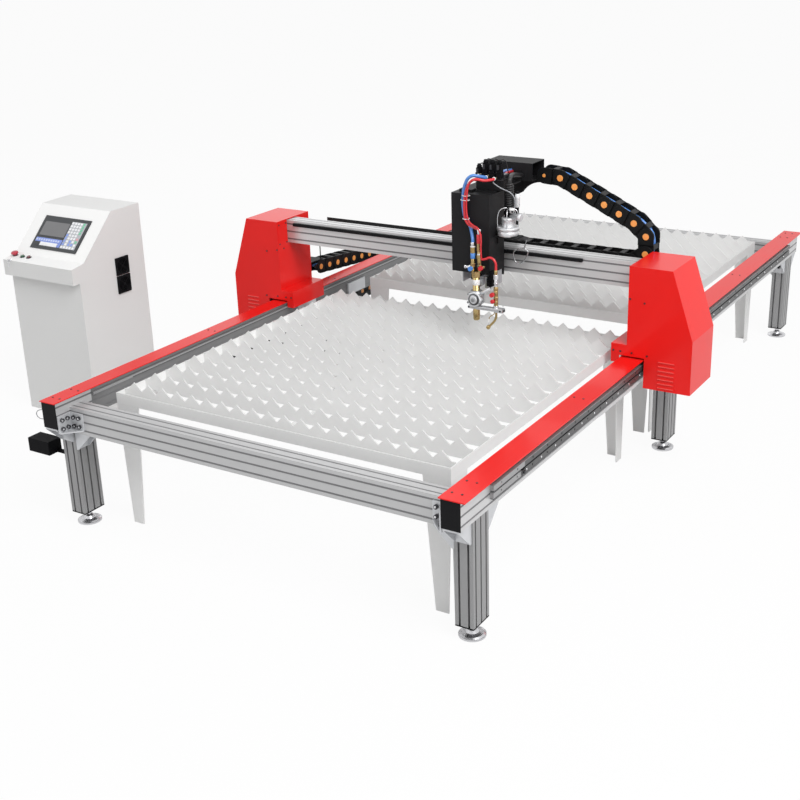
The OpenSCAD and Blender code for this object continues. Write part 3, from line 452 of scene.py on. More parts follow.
class Blank:
    """A mesh in the making. Shapes are given in millimetres, each with the name of its finish."""

    def __init__(self, name, local=False):
        self.name, self.local = name, local
        self.mesh = bmesh.new()
        self.finishes = []

    def _dress(self, faces, name, smooth=False):
        if name not in self.finishes:
            self.finishes.append(name)
        for face in faces:
            face.material_index = self.finishes.index(name)
            face.smooth = smooth

    def _bevel(self, faces, width, name, steps=2, least=25.0):
        """Rounds the edges that turn by more than the least angle."""
        edges = [e for e in {e for f in faces for e in f.edges}
                 if len(e.link_faces) == 2 and math.degrees(e.calc_face_angle(0)) > least]
        if width and edges:
            made = bmesh.ops.bevel(self.mesh, geom=edges, offset=width, segments=steps, profile=0.5,
                                   affect="EDGES")
            self._dress(made["faces"], name)

    def _skin(self, rings, name, smooth):
        """Closes rings of points into a solid with flat ends."""
        count = len(rings[0])
        for near, far in zip(rings, rings[1:]):
            self._dress([self.mesh.faces.new((near[i], near[(i + 1) % count], far[(i + 1) % count], far[i]))
                         for i in range(count)], name, smooth)
        self._dress([self.mesh.faces.new(rings[0][::-1]), self.mesh.faces.new(rings[-1])], name)
        return self

    def _ring(self, centre, first, second, radius, sides):
        return [self.mesh.verts.new(centre + (first * math.cos(a) + second * math.sin(a)) * radius)
                for a in circle(sides)]

    def box(self, low, high, name, bevel=0.0, turn=None):
        low, high = Vector(low), Vector(high)
        made = bmesh.ops.create_cube(self.mesh, size=1.0)["verts"]
        middle = (low + high) / 2
        for v in made:
            v.co = Vector(a * b for a, b in zip(v.co, high - low)) + middle
            if turn is not None:
                v.co = Euler(turn).to_matrix() @ (v.co - middle) + middle
        faces = list({f for v in made for f in v.link_faces})
        self._dress(faces, name)
        self._bevel(faces, bevel, name)
        return self

    def turned(self, foot, axis, profile, name, sides=32, smooth=True):
        """Turns a profile of (distance along the axis, radius) about an axis that starts at foot."""
        axis = Vector(axis).normalized()
        across = axis.orthogonal().normalized()
        other = axis.cross(across)
        return self._skin([self._ring(Vector(foot) + axis * along, across, other, radius, sides)
                           for along, radius in course(profile, 2)], name, smooth)

    def rod(self, start, end, radius, name, sides=20):
        way = Vector(end) - Vector(start)
        cut = min(0.12 * radius, 0.8)
        profile = [(0, radius - cut), (cut, radius), (way.length - cut, radius), (way.length, radius - cut)]
        return self.turned(start, way, profile, name, sides)

    def stack(self, x, y, rows):
        """Upright collars, each with its two heights, radius, finish and sides."""
        for low, high, radius, name, sides in rows:
            tall = high - low
            self.turned((x, y, low), UP,
                        [(0, radius - 1), (1, radius), (tall - 1, radius), (tall, radius - 1)],
                        name, sides, sides > 6)

    def plate(self, outline, plane, start, depth, name, bevel=0.0, steps=2):
        """Pushes a flat outline along the axis that the plane leaves out, from start by depth."""
        order = {"xy": (0, 1, 2), "xz": (0, 2, 1), "yz": (1, 2, 0)}[plane]

        def point(*place):
            return [place[order.index(axis)] for axis in range(3)]

        outline = course(outline, 2)
        ends = [[self.mesh.verts.new(point(a, b, c)) for a, b in outline] for c in (start, start + depth)]
        count = len(outline)
        faces = [self.mesh.faces.new(ends[0]), self.mesh.faces.new(ends[1][::-1])]
        faces += [self.mesh.faces.new((ends[0][i], ends[1][i],
                                       ends[1][(i + 1) % count], ends[0][(i + 1) % count]))
                  for i in range(count)]
        bmesh.ops.recalc_face_normals(self.mesh, faces=faces)
        self._dress(faces, name)
        self._bevel(faces, bevel, name, steps, 30.0)
        return self

    def hose(self, points, radius, name, sides=12, steps=6):
        """A round tube on a smooth line through points, or straight from point to point without steps."""
        line = smooth_line(course(points), steps) if steps else [Vector(p) for p in points]
        guide, rings = None, []
        for i, centre in enumerate(line):
            along = (line[min(i + 1, len(line) - 1)] - line[max(i - 1, 0)]).normalized()
            guide = along.orthogonal() if guide is None else guide - along * guide.dot(along)
            guide.normalize()
            rings.append(self._ring(centre, guide, along.cross(guide), radius, sides))
        return self._skin(rings, name, True)

    def make(self):
        """The finished object, at the origin with its place in its mesh."""
        for v in self.mesh.verts:
            v.co = v.co / 1000 if self.local else at(*v.co)
        data = bpy.data.meshes.new(self.name)
        self.mesh.to_mesh(data)
        self.mesh.free()
        for name in self.finishes:
            data.materials.append(finish(name))
        return link(bpy.data.objects.new(self.name, data))


# Geometry Nodes

class Tree:
    """A Geometry Nodes tree with named inputs, ending in Realize Instances and Set Material."""

    def __init__(self, name, **inputs):
        self.group = bpy.data.node_groups.new(name, "GeometryNodeTree")
        face = self.group.interface
        face.new_socket("Geometry", in_out="INPUT", socket_type="NodeSocketGeometry")
        for label, (kind, value) in {**inputs, "Piece": ("Object", None),
                                     "Finish": ("Material", None)}.items():
            made = face.new_socket(label, in_out="INPUT", socket_type="NodeSocket" + kind)
            if value is not None:
                made.default_value = value
        face.new_socket("Geometry", in_out="OUTPUT", socket_type="NodeSocketGeometry")
        self.given = self.group.nodes.new("NodeGroupInput").outputs
        self.end = self.group.nodes.new("NodeGroupOutput")

    def node(self, kind, settings=None, **inputs):
        made = self.group.nodes.new(kind)
        for key, value in (settings or {}).items():
            setattr(made, key, value)
        for key, value in inputs.items():
            socket = made.inputs[key.replace("_", " ")]
            if isinstance(value, bpy.types.NodeSocket):
                self.group.links.new(value, socket)
            else:
                socket.default_value = value
        return made.outputs[0]

    def piece(self):
        made = self.group.nodes.new("GeometryNodeObjectInfo")
        self.group.links.new(self.given["Piece"], made.inputs["Object"])
        return made.outputs["Geometry"]

    def close(self, geometry):
        """Sets the finish on faces with the piece's first one. The others keep theirs."""
        index = self.node("GeometryNodeInputMaterialIndex")
        first = self.node("ShaderNodeMath", {"operation": "LESS_THAN"}, Value=index)
        real = self.node("GeometryNodeRealizeInstances", Geometry=geometry)
        real = self.node("GeometryNodeSetMaterial", Geometry=real, Selection=first,
                         Material=self.given["Finish"])
        self.group.links.new(real, self.end.inputs[0])
        return self.group


@functools.cache
def places_tree():
    """Sets a piece on each point, turned by the point's own turn."""
    tree = Tree("pieces_on_points", Size=("Float", 1.0))
    turn = tree.node("GeometryNodeInputNamedAttribute", {"data_type": "FLOAT_VECTOR"}, Name="turn")
    spin = tree.node("FunctionNodeEulerToRotation", Euler=turn)
    return tree.close(tree.node("GeometryNodeInstanceOnPoints", Points=tree.given["Geometry"],
                                Instance=tree.piece(), Rotation=spin, Scale=tree.given["Size"]))


@functools.cache
def row_tree():
    """A row of one piece, by count and step."""
    tree = Tree("row_of_pieces", Count=("Int", 2), Step=("Vector", (0, 0.1, 0)), Start=("Vector", (0, 0, 0)))
    line = tree.node("GeometryNodeMeshLine", {"mode": "OFFSET"}, Count=tree.given["Count"],
                     Start_Location=tree.given["Start"], Offset=tree.given["Step"])
    return tree.close(tree.node("GeometryNodeInstanceOnPoints", Points=line, Instance=tree.piece()))


def grown(obj, tree, piece, **values):
    """Runs a tree with a piece on an object, keeps the result as a plain mesh and removes the piece."""
    modifier = obj.modifiers.new(tree.name, "NODES")
    modifier.node_group = tree
    values.update(Piece=piece, Finish=piece.data.materials[0])
    for item in tree.interface.items_tree:
        if item.in_out == "INPUT" and item.name in values:
            modifier[item.identifier] = values[item.name]
    bpy.context.view_layer.update()
    result = bpy.data.meshes.new_from_object(obj.evaluated_get(bpy.context.evaluated_depsgraph_get()))
    obj.modifiers.clear()
    obj.data = result
    bpy.data.objects.remove(piece)
    return obj


def on_points(name, piece, places):
    """One mesh with piece at each (point in metres, Euler turn)."""
    data = bpy.data.meshes.new(name)
    data.from_pydata([p for p, _ in places], [], [])
    turns = data.attributes.new("turn", "FLOAT_VECTOR", "POINT")
    turns.data.foreach_set("vector", [c for _, turn in places for c in turn])
    return grown(link(bpy.data.objects.new(name, data)), places_tree(), piece)


def in_row(name, piece, count, start, step):
    obj = link(bpy.data.objects.new(name, bpy.data.meshes.new(name)))
    return grown(obj, row_tree(), piece, Count=count, Start=start, Step=step)


def joined(name, pieces):
    """Several meshes as one, with their finishes kept."""
    for obj in bpy.context.view_layer.objects:
        obj.select_set(obj in pieces)
    bpy.context.view_layer.objects.active = pieces[0]
    bpy.ops.object.join()
    pieces[0].name = name
    return pieces[0]


# Pieces

class CUTTER_OT_frame(bpy.types.Operator):
    """Finish the frame, its covers, feet, brackets and guides"""
    bl_idname = "cutter.frame"
    bl_label = "Frame"

    def execute(self, context):
        for name, nodes in NODE_FINISHES.items():
            for node in nodes.split():
                data = NODES[node].data
                data.materials.clear()
                data.materials.append(finish(name))
        return {"FINISHED"}


# A route is its first pin and the slope of each link.
CROSS = {"start": (415, 1370), "upper": (-4, -25, -25, -25.5, -26, -26), "bend": (-43, -90, -148),
         "lower": (-180,) * 8}
LONG = {"start": (2203, 673), "upper": (-5.3,) * 5 + (-5, -4.5, -4, -3, -2.5, -2, -2),
        "bend": (-43, -90, -148), "lower": (-180,) * 12}
CROSS_Y, LONG_X, LONG_LEFT = 1948, -1116, -1200
LEAD_IN, END_CAP_SHARE = 43, 0.56
# Each lead has its side and height in the chain, its radius and its finish.
CROSS_LEADS = ((24, -14, 7, "cable"), (33, 14, 7.5, "oxygen"), (44, 10, 7.5, "oxygen"),
               (36, -12, 7.5, "fuel"), (56, 13, 8.5, "oxygen"))
LONG_LEADS = ((28, 0, 7.5, "oxygen"), (42, -8, 8, "cable"), (58, 2, 7.5, "fuel"))


def runs(route):
    """Each run of a route, with its pins and slopes."""
    pitch, start = sizes().pitch * 1000, Vector(route["start"])
    for run in ("upper", "bend", "lower"):
        pins = [start]
        for slope in route[run]:
            a = math.radians(slope)
            pins.append(pins[-1] + pitch * Vector((math.cos(a), math.sin(a))))
        yield run, pins, route[run]
        start = pins[-1]


def chain_link(cap_share=1.0):
    """One link: lapped side plates, cross bars above and below, a cap on each side of its pin."""
    s = sizes()
    pitch, half, width = s.pitch * 1000, s.link_height * 500, s.link_width * 1000
    cap = s.pin_cap * 500 * cap_share
    inner, outer = half + 0.5, pitch - half - 2
    blank = Blank("chain_link", local=True)
    arc = [math.radians(a) for a in range(90, 271, 12)]
    near = [(half * math.cos(a), half * math.sin(a)) for a in arc] + [(outer, -half), (outer, half)]
    far = ([(pitch - half * math.cos(a), half * math.sin(a)) for a in reversed(arc)]
           + [(inner, half), (inner, -half)])
    for side, way in ((0, 1), (width, -1)):
        blank.plate(near, "xz", side, 4.85 * way, "chain", 0.9, 1)
        blank.plate(far, "xz", side + 5.15 * way, 4.85 * way, "chain", 0.9, 1)
        low, high = sorted((side, side + 10 * way))
        blank.box((inner, low, -half + 0.8), (outer, high, half - 0.8), "chain")
        for profile, name in ((((-0.5, cap + 2.6), (0.6, cap + 2.4), (0.7, cap + 0.4)), "chain"),
                              (((0.2, cap), (1.5, cap), (2.0, cap - 0.8)), "pin_cap")):
            blank.turned((0, side, 0), (0, -way, 0), profile, name, 28)
    for middle in (5 - half, half - 5):
        blank.box((inner - 2, 9, middle - 3), (inner + 24, width - 9, middle + 3), "crossbar", 1.2)
    return blank.make()


def chain_leads(pins, leads, place):
    """Hoses and cables that lie in a run. place(side, along, height) gives a point of the object."""
    blank = Blank("leads")
    for side, height, radius, name in leads:
        line = []
        for i, pin in enumerate(pins):
            way = (pins[min(i + 1, len(pins) - 1)] - pins[max(i - 1, 0)]).normalized()
            line.append(place(side, *(pin + Vector((-way.y, way.x)) * height)))
        blank.hose(line, radius, name, 10, 4)
    return blank.make()


class CUTTER_OT_cross_chain(bpy.types.Operator):
    """Cable chain behind the beam"""
    bl_idname = "cutter.cross_chain"
    bl_label = "Cross chain"

    def execute(self, context):
        for run, pins, slopes in runs(CROSS):
            places = [(at(p.x, CROSS_Y, p.y), (0, -math.radians(a), 0)) for p, a in zip(pins, slopes)]
            if run == "upper":
                links = [on_points("end_link", chain_link(END_CAP_SHARE), places[:1]),
                         on_points("other_links", chain_link(), places[1:])]
                pins = [pins[0] + Vector((-LEAD_IN, 0))] + pins
            else:
                links = [on_points("links", chain_link(), places)]
            leads = chain_leads(pins, CROSS_LEADS,
                                lambda side, along, height: (along, CROSS_Y + side, height))
            piece = joined("cross_chain_" + run, links + [leads])
            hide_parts("xchain_" + run)
            if run == "bend":
                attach(piece, "xchain_bend")
            elif run == "upper":
                at(1341, 0, 0)
                at(415, 0, 0)
                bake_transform(piece)
            else:
                at(196, 0, 0)
                at(868, 0, 0)
                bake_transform(piece)
        return {"FINISHED"}


class CUTTER_OT_long_chain(bpy.types.Operator):
    """Cable chain beside the left rail"""
    bl_idname = "cutter.long_chain"
    bl_label = "Long chain"

    def execute(self, context):
        for run, pins, slopes in runs(LONG):
            places = [(at(LONG_X, p.x, p.y), (0, -math.radians(a), math.pi / 2))
                      for p, a in zip(pins, slopes)]
            leads = chain_leads(pins, LONG_LEADS,
                                lambda side, along, height: (LONG_LEFT + side, along, height))
            piece = joined("long_chain_" + run, [on_points("links", chain_link(), places), leads])
            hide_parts("ychain_" + run)
            if run == "bend":
                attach(piece, "ychain_bend")
            elif run == "upper":
                at(0, 4209, 0)
                at(0, 2203, 0)
                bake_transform(piece)
            else:
                at(0, 2203, 0)
                at(0, 3206, 0)
                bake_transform(piece)
        return {"FINISHED"}


TORCH_X, TORCH_Y, PILOT_X = 272, 1528, 376


class CUTTER_OT_torch(bpy.types.Operator):
    """Cutting torch, its pilot torch and their clamp"""
    bl_idname = "cutter.torch"
    bl_label = "Torch"

    def execute(self, context):
        blank = Blank("torch")
        for part in (self.head, self.tubes, self.fittings, self.clamp, self.pilot):
            part(blank, TORCH_X, TORCH_Y)
        piece = blank.make()
        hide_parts("cutting_torch", "pilot_torch")
        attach(piece, "torch")
        return {"FINISHED"}

    def head(self, blank, x, y):
        """Nozzle, clamp casting and barrel."""
        blank.turned((x, y, 748), UP, "0 8  1 13  5 15.6  22 16.6  50 16.6  54 14  58 14", "brass")
        blank.turned((x, y, 822), UP, "0 20  2 24  10 30  22 37  48 38  60 31  72 26  74 22", "dull", 40)
        for front, profile, name, sides in (
                (20, "0 30  2 34  40 37  47 37  50 33", "satin", 8),
                (-30, "0 28  2 28  2.5 27", "steel", 32),
                (-31, "0 19  6 19  8 17", "satin", 32),
                (-38, "0 10  5 10  6 9", "dull", 6)):
            blank.turned((x + 2, y + front, 856), FRONT, profile, name, sides, sides > 8)
        for side in (-31, 31):
            for front, z in ((-30, 838), (-26, 876)):
                blank.rod((x + side, y + front, z), (x + side, y + 14, z), 6, "dull", 6)
        for z, profile, name, sides in (
                (893, "0 18.5  3 18.5  4 17.4  70 17.4  71 16", "brass", 32),
                (921, "0 17.6  0.4 18  26 18  26.4 17.6", "tie", 32),
                (958, "0 20  2 22  27 22  30 20", "brass", 6)):
            blank.turned((x, y, z), UP, profile, name, sides, sides > 8)

    def tubes(self, blank, x, y):
        blank.stack(x - 17, y, (
            (985, 1046, 9.5, "brass", 24), (1008, 1024, 11.5, "brass", 6), (1046, 1072, 11.6, "oxygen", 28),
            (1072, 1100, 11, "brass", 6), (1100, 1106, 11.4, "tie", 28), (1106, 1124, 9.6, "chrome", 24)))
        blank.stack(x + 17, y, (
            (985, 1084, 9.5, "brass", 24), (1006, 1020, 11.5, "brass", 6), (1050, 1066, 12.2, "brass", 6),
            (1066, 1074, 11, "chrome", 28), (1084, 1122, 11, "brass", 6), (1122, 1164, 12, "fuel", 28),
            (1164, 1190, 9.4, "chrome", 24)))

    def fittings(self, blank, x, y):
        """Cross tubes and valves below the knobs, and the black igniter behind."""
        blank.rod((x + 17, y, 1011), (x + 44, y, 1011), 6.5, "brass", 6)
        for side, z in ((-16, 1003), (38, 1011)):
            blank.rod((x + side, y + 2, z), (x + side, y - 23, z), 4.4, "brass", 16)
            blank.rod((x + side, y - 8, z), (x + side, y - 14, z), 8, "brass", 6)
        for start, end, radius, name in ((-60, -53, 9, "chrome"), (-53, -38, 7, "chrome"),
                                         (-38, -30, 9.5, "tie"), (-30, -12, 7, "brass")):
            blank.rod((x + start, y, 1003), (x + end, y, 1003), radius, name, 24)
        blank.box((222, 1566, 930), (244, 1588, 956), "box", 3)
        blank.box((300, 1560, 900), (318, 1586, 955), "dull", 1.5)
        blank.box((325.5, 1548, 912), (344, 1584, 986), "box", 3)
        blank.box((312, 1552, 912), (332, 1580, 955), "box", 3)
        blank.turned((330, 1547, 930), FRONT, "0 8  8 8  10 6", "box", 20)
        blank.rod((330, 1556, 912), (330, 1556, 896), 5, "bolt", 12)

    def clamp(self, blank, x, y):
        blank.box((232, 1514, 804), (417, 1542, 820), "alloy", 2.5)
        blank.box((376, 1512, 802), (417, 1544, 822), "alloy", 3)
        blank.rod((238, 1512, 812), (238, 1544, 812), 4.5, "bolt", 12)
        blank.rod((405, 1510, 812), (405, 1546, 812), 5, "bolt", 6)
        blank.turned((x + 28, y, 882), (0.82, 0, 0.5), "0 8  2 9  50 9  52 8", "satin", 28)
        blank.rod((x + 94, y, 855), (x + 94, y - 12, 855), 4, "brass", 12)
        blank.turned((x + 94, y - 11, 855), FRONT, "0 8  1 10  10 10  12 8", "fuel", 10, False)

    def pilot(self, blank, x, y):
        blank.stack(PILOT_X, y, (
            (820, 832, 12.5, "chrome", 28), (832, 858, 10.2, "brass", 24), (858, 876, 11.6, "brass", 6),
            (876, 906, 10.2, "brass", 24), (906, 922, 11.6, "brass", 6), (922, 960, 8, "chrome", 24),
            (938, 944, 10.5, "chrome", 24), (960, 982, 11.6, "chrome", 6), (982, 1004, 8.5, "brass", 24)))
        blank.rod((x + 94, y - 2, 888), (x + 94, y - 17, 888), 4.4, "brass", 16)
        blank.hose("376 1528 806  377 1528 790  376 1528 775  369 1528 758  358 1528 744  346 1528 732"
                   "  338 1528 725", 5.6, "brass", 16, 5)
        blank.turned((341, y, 728), (-0.62, 0, -0.78), "0 7  2 9  8 9.8  16 9.8  18 7", "brass", 24)
        blank.hose("368 1526 806  366 1526 790  352 1526 780  342 1526 770  339 1526 757", 2.2, "brass", 8, 4)
        blank.rod((339, y - 2, 762), (336, y - 2, 738), 4, "tie", 14)


class CUTTER_OT_gas_hoses(bpy.types.Operator):
    """Gas hoses from the valves down to the torch, and their ties"""
    bl_idname = "cutter.gas_hoses"
    bl_label = "Gas hoses"

    def execute(self, context):
        radius = sizes().gas_hose * 500
        blank = Blank("gas_hoses")
        blank.hose(
            "283 1613 1414  283 1604 1414  278 1592 1418  262 1572 1424  242 1556 1428  221 1549 1414"
            "  206 1549 1385  197 1549 1350  194 1549 1309  196 1549 1268  202 1551 1237  217 1553 1210"
            "  231 1551 1188  243 1541 1164  252 1532 1144  255 1528 1130  255 1528 1116",
            radius + 1.3, "oxygen", 14)
        blank.hose(
            "324 1613 1410  324 1604 1409  317 1590 1408  298 1566 1408  278 1550 1414  258 1541 1414"
            "  238 1538 1400  223 1538 1375  213 1538 1340  208 1538 1305  208 1538 1262  212 1538 1230"
            "  226 1537 1206  250 1535 1196  272 1532 1190  285 1529 1186  289 1528 1180  289 1528 1172",
            radius, "fuel", 14)
        blank.hose(
            "241 1613 1418  241 1604 1417  248 1580 1408  262 1548 1408  256 1534 1414  240 1530 1402"
            "  231 1530 1376  226 1530 1340  222 1530 1290  226 1530 1246  238 1530 1216  262 1526 1203"
            "  284 1520 1196  300 1516 1176  306 1515 1145  304 1516 1105  303 1520 1072  302 1524 1052",
            3.6, "fuel", 10)
        blank.hose("298 1528 1047  308 1527 1047  324 1527 1052  343 1527 1060  362 1527 1055  374 1528 1038"
                   "  376 1528 1020  376 1528 1000", 5.6, "fuel", 12)
        for z, x, y, wide in ((1316, 210, 1541, 22), (1337, 215, 1541, 19), (1228, 213, 1543, 16)):
            ring = [(x + wide * math.cos(a), y + 15 * math.sin(a), z) for a in circle(14, 1)]
            blank.hose(ring, 1.5, "tie", 6, 2)
            blank.rod((x + wide - 2, 1530, z), (x + wide + 8, 1524, z + 3), 1.3, "tie", 6)
        piece = blank.make()
        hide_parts("hoses")
        at(0, 0, 1305)
        at(0, 0, 1198)
        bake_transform(piece)
        return {"FINISHED"}


class CUTTER_OT_gas_parts(bpy.types.Operator):
    """Valves on the lifter box, the regulator beside it, its wires and its hook"""
    bl_idname = "cutter.gas_parts"
    bl_label = "Gas parts"

    def execute(self, context):
        self.valves()
        self.regulator()
        self.leads()
        return {"FINISHED"}

    def valves(self):
        blank = Blank("valve_bank")
        blank.box((208, 1650, 1346), (352, 1700, 1396), "coat", 1.5)
        blank.box((146, 1600, 1340), (214, 1640, 1352), "coat", 1.5)
        for x, top in ((228, 1466), (262, 1488), (298, 1489), (335, 1490)):
            blank.box((x - 14, 1632, 1402), (x + 14, 1664, 1428), "box", 2)
            blank.box((x - 12, 1634, 1428), (x + 12, 1662, top - 16), "box", 3)
            blank.box((x - 15, 1640, 1396), (x + 15, 1690, 1410), "bolt", 1)
            blank.turned((x, 1648, top - 16), UP, "0 11  2 12  9 12  11 9  16 9  17 7", "box", 24)
            blank.box((x - 5, 1624, top - 42), (x + 5, 1636, top - 20), "bolt", 1.5)
            blank.hose([(x + 4, 1640, top - 18), (x + 8, 1652, top + 2), (x + 12, 1676, top - 6),
                        (x + 10, 1700, top - 36), (x + 8, 1716, 1420)], 2.6, "cable", 8, 4)
        for x, z in ((241, 1418), (283, 1414), (324, 1410)):
            for near, far, radius, name, sides in (
                    (1634, 1624, 8, "brass", 6), (1625, 1612, 7.4, "chrome", 24),
                    (1613, 1607, 8.4, "tie", 24)):
                blank.rod((x, near, z), (x, far, z), radius, name, sides)
        blank.rod((350, 1676, 1414), (350, 1666, 1414), 8, "chrome", 6)
        blank.box((334, 1650, 1404), (360, 1690, 1424), "bolt", 1.5)
        piece = blank.make()
        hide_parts("gas_valves")
        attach(piece, "carriage")

    def regulator(self):
        x, y = 382, 1640
        blank = Blank("gas_regulator")
        for z, profile, name, sides in (
                (1145, "0 44  1 47  3 49  22 49.5  23 48  26 48  27 52.5  39 52.5  42 50  43 30  44 26",
                 "satin", 56),
                (1187, "0 32  2 30  33 30  35 32  41 32  44 25  45 13", "satin", 40),
                (1231, "0 15  12 15  13 20  26 20  28 16  34 16", "box", 32)):
            blank.turned((x, y, z), UP, profile, name, sides)
        bow = ((47, 1180), (50, 1200), (50, 1232), (45, 1254), (35, 1268), (18, 1274), (6, 1274))
        for turn in (15, 75, 140, 215, 290):
            c, s = math.cos(math.radians(turn)), math.sin(math.radians(turn))
            blank.hose([(x + r * c, y + r * s, z) for r, z in bow], 2.2, "chrome", 8, 4)
        blank.turned((x + 14, y - 4, 1240), (1, -0.1, -0.06),
                     "0 9  16 9  18 15  44 16  46 18  58 18  60 15", "satin")
        blank.turned((x + 26, y - 14, 1256), UP, "0 10  10 10  11 13  20 13  22 10", "tie", 24)
        blank.turned((x + 30, y - 16, 1262), (0.4, -0.9, 0.2), "0 5  14 5  15 4", "box", 16)
        blank.box((326, 1604, 1137), (444, 1674, 1144), "coat", 1)
        blank.box((324, 1640, 1100), (330, 1674, 1137), "coat", 1)
        blank.plate("376 1122  400 1116  468 1124  470 1136  432 1142  376 1138", "xz", 1674, 5, "steel", 0.8)
        blank.turned((419, 1662, 1276), UP, "0 8  3 11  40 11  42 12.5  56 12.5  58 10  64 10",
                     "clear_bowl", 28)
        blank.turned((419, 1662, 1338), UP, "0 9  5 9  6 7  12 7", "box", 24)
        piece = blank.make()
        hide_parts("regulator")
        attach(piece, "carriage")

    def leads(self):
        blank = Blank("gas_leads")
        turns, count = 11, 132
        coil = [(379 + 15 * math.cos(t), 1660 + 15 * math.sin(t), 1264 + 118 * i / count)
                for i, t in ((i, math.tau * turns * i / count) for i in range(count + 1))]
        blank.hose(coil, 5.6, "cable", 8, 0)
        blank.hose("379 1660 1262  379 1660 1384  374 1672 1404  352 1740 1406  326 1840 1386  318 1907 1372",
                   11, "cable")
        blank.hose("350 1668 1414  338 1690 1416  318 1760 1412  282 1860 1394  268 1908 1388", 6.8, "fuel")
        blank.hose("320 1660 1424  322 1690 1427  310 1760 1420  274 1860 1400  262 1908 1393", 6.8, "oxygen")
        blank.hose("312 1624 1394  318 1622 1386  350 1630 1365  389 1636 1350  410 1640 1330  414 1646 1306"
                   "  410 1650 1270", 2.6, "wire", 8)
        blank.hose(
            "462 1676 1128  452 1684 1108  445 1690 1092  444 1690 1076  460 1690 1063  454 1690 1040"
            "  440 1690 1018  422 1690 1002  404 1690 1002  393 1690 1010  386 1690 1030  385 1690 1052"
            "  400 1690 1066  418 1690 1071  436 1690 1076  446 1688 1090", 2.9, "hook", 8)
        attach(blank.make(), "carriage")


class CUTTER_OT_console(bpy.types.Operator):
    """Screen, keys and bezel of the console"""
    bl_idname = "cutter.console"
    bl_label = "Console"

    SLOPE = math.atan2(229, 233)
    PLACE, WIDE, DEEP, LEFT, FAR = (-2078.5, 1067, 887), 340, 206, -170, 252
    KEY_FOOT = 6
    # Slabs of the panel: two corners as shares of its width and depth with their heights, finish, bevel.
    SLABS = (((0.0, 0.0, 0.0), (1.0, 1.0, 5.2), "bezel", 1.5),
             ((0.045, 0.155, 5.0), (0.62, 0.625, 6.2), "key_dark", 0.5),
             ((0.062, 0.175, 5.5), (0.605, 0.6, 6.4), "screen", 0.3),
             ((0.042, 0.675, 5.0), (0.612, 0.795, 6.0), "key_blue", 0.4),
             ((0.55, 0.78, 5.0), (0.612, 0.905, 6.0), "key_blue", 0.4),
             ((0.17, 0.795, 5.0), (0.545, 0.905, 6.0), "key_white", 0.4),
             ((0.627, 0.098, 5.0), (0.945, 0.912, 6.0), "pad_grey", 0.4),
             ((0.07, 0.855, 5.0), (0.145, 0.935, 6.6), "key_dark", 0.6))

    def on_slope(self, x, y, z):
        c, s = math.cos(self.SLOPE), math.sin(self.SLOPE)
        return (self.PLACE[0] + x, self.PLACE[1] + y * c - z * s, self.PLACE[2] + y * s + z * c)

    def share(self, u, v, z):
        return (self.LEFT + self.WIDE * u, self.FAR - self.DEEP * v, z)

    def slab(self, low, high, name, bevel):
        made = Blank("slab")
        made.box(self.share(low[0], high[1], low[2]), self.share(high[0], low[1], high[2]), name, bevel)
        for v in made.mesh.verts:
            v.co = Vector(self.on_slope(*v.co))
        return made.make()

    def keys(self, places, wide, deep, name):
        key = Blank("key", local=True).box((-wide / 2, -deep / 2, 0), (wide / 2, deep / 2, 1.6),
                                           name, 0.7).make()
        spots = [(at(*self.on_slope(*self.share(u, v, self.KEY_FOOT))), (self.SLOPE, 0, 0))
                 for u, v in places]
        return on_points("keys", key, spots)

    def execute(self, context):
        step = sizes().key_step * 1000 / self.WIDE
        columns = [0.655 + i * step * 0.93 for i in range(5)]
        rows = [0.145 + i * 0.0905 for i in range(9)]
        green = [(columns[4] - 0.004, v) for v in rows[:4]]
        small = [(columns[4], rows[6])]
        blue = [(columns[0], v) for v in rows[4:8]]
        blue += [(columns[2], rows[7]), (columns[3], rows[7]), (columns[2], rows[6])]
        white = [(u, v) for v in rows for u in columns[:4] if (u, v) not in blue]
        white += [(columns[4], v) for v in rows[7:]] + [(0.2 + i * 0.054, 0.85) for i in range(7)]
        pale = [(0.072 + i * 0.0525, 0.735) for i in range(10)]
        pieces = [self.slab(*slab) for slab in self.SLABS]
        pieces += [self.keys(green + small, 14, 15, "key_green"), self.keys(blue, 13.5, 15, "key_deep_blue"),
                   self.keys(pale, 12, 12, "key_pale"), self.keys(white, 14.5, 13.5, "key_white"),
                   self.keys([(columns[4], rows[5])], 14, 13.5, "key_pink")]
        piece = joined("control_panel", pieces)
        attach(piece, "table")
        return {"FINISHED"}


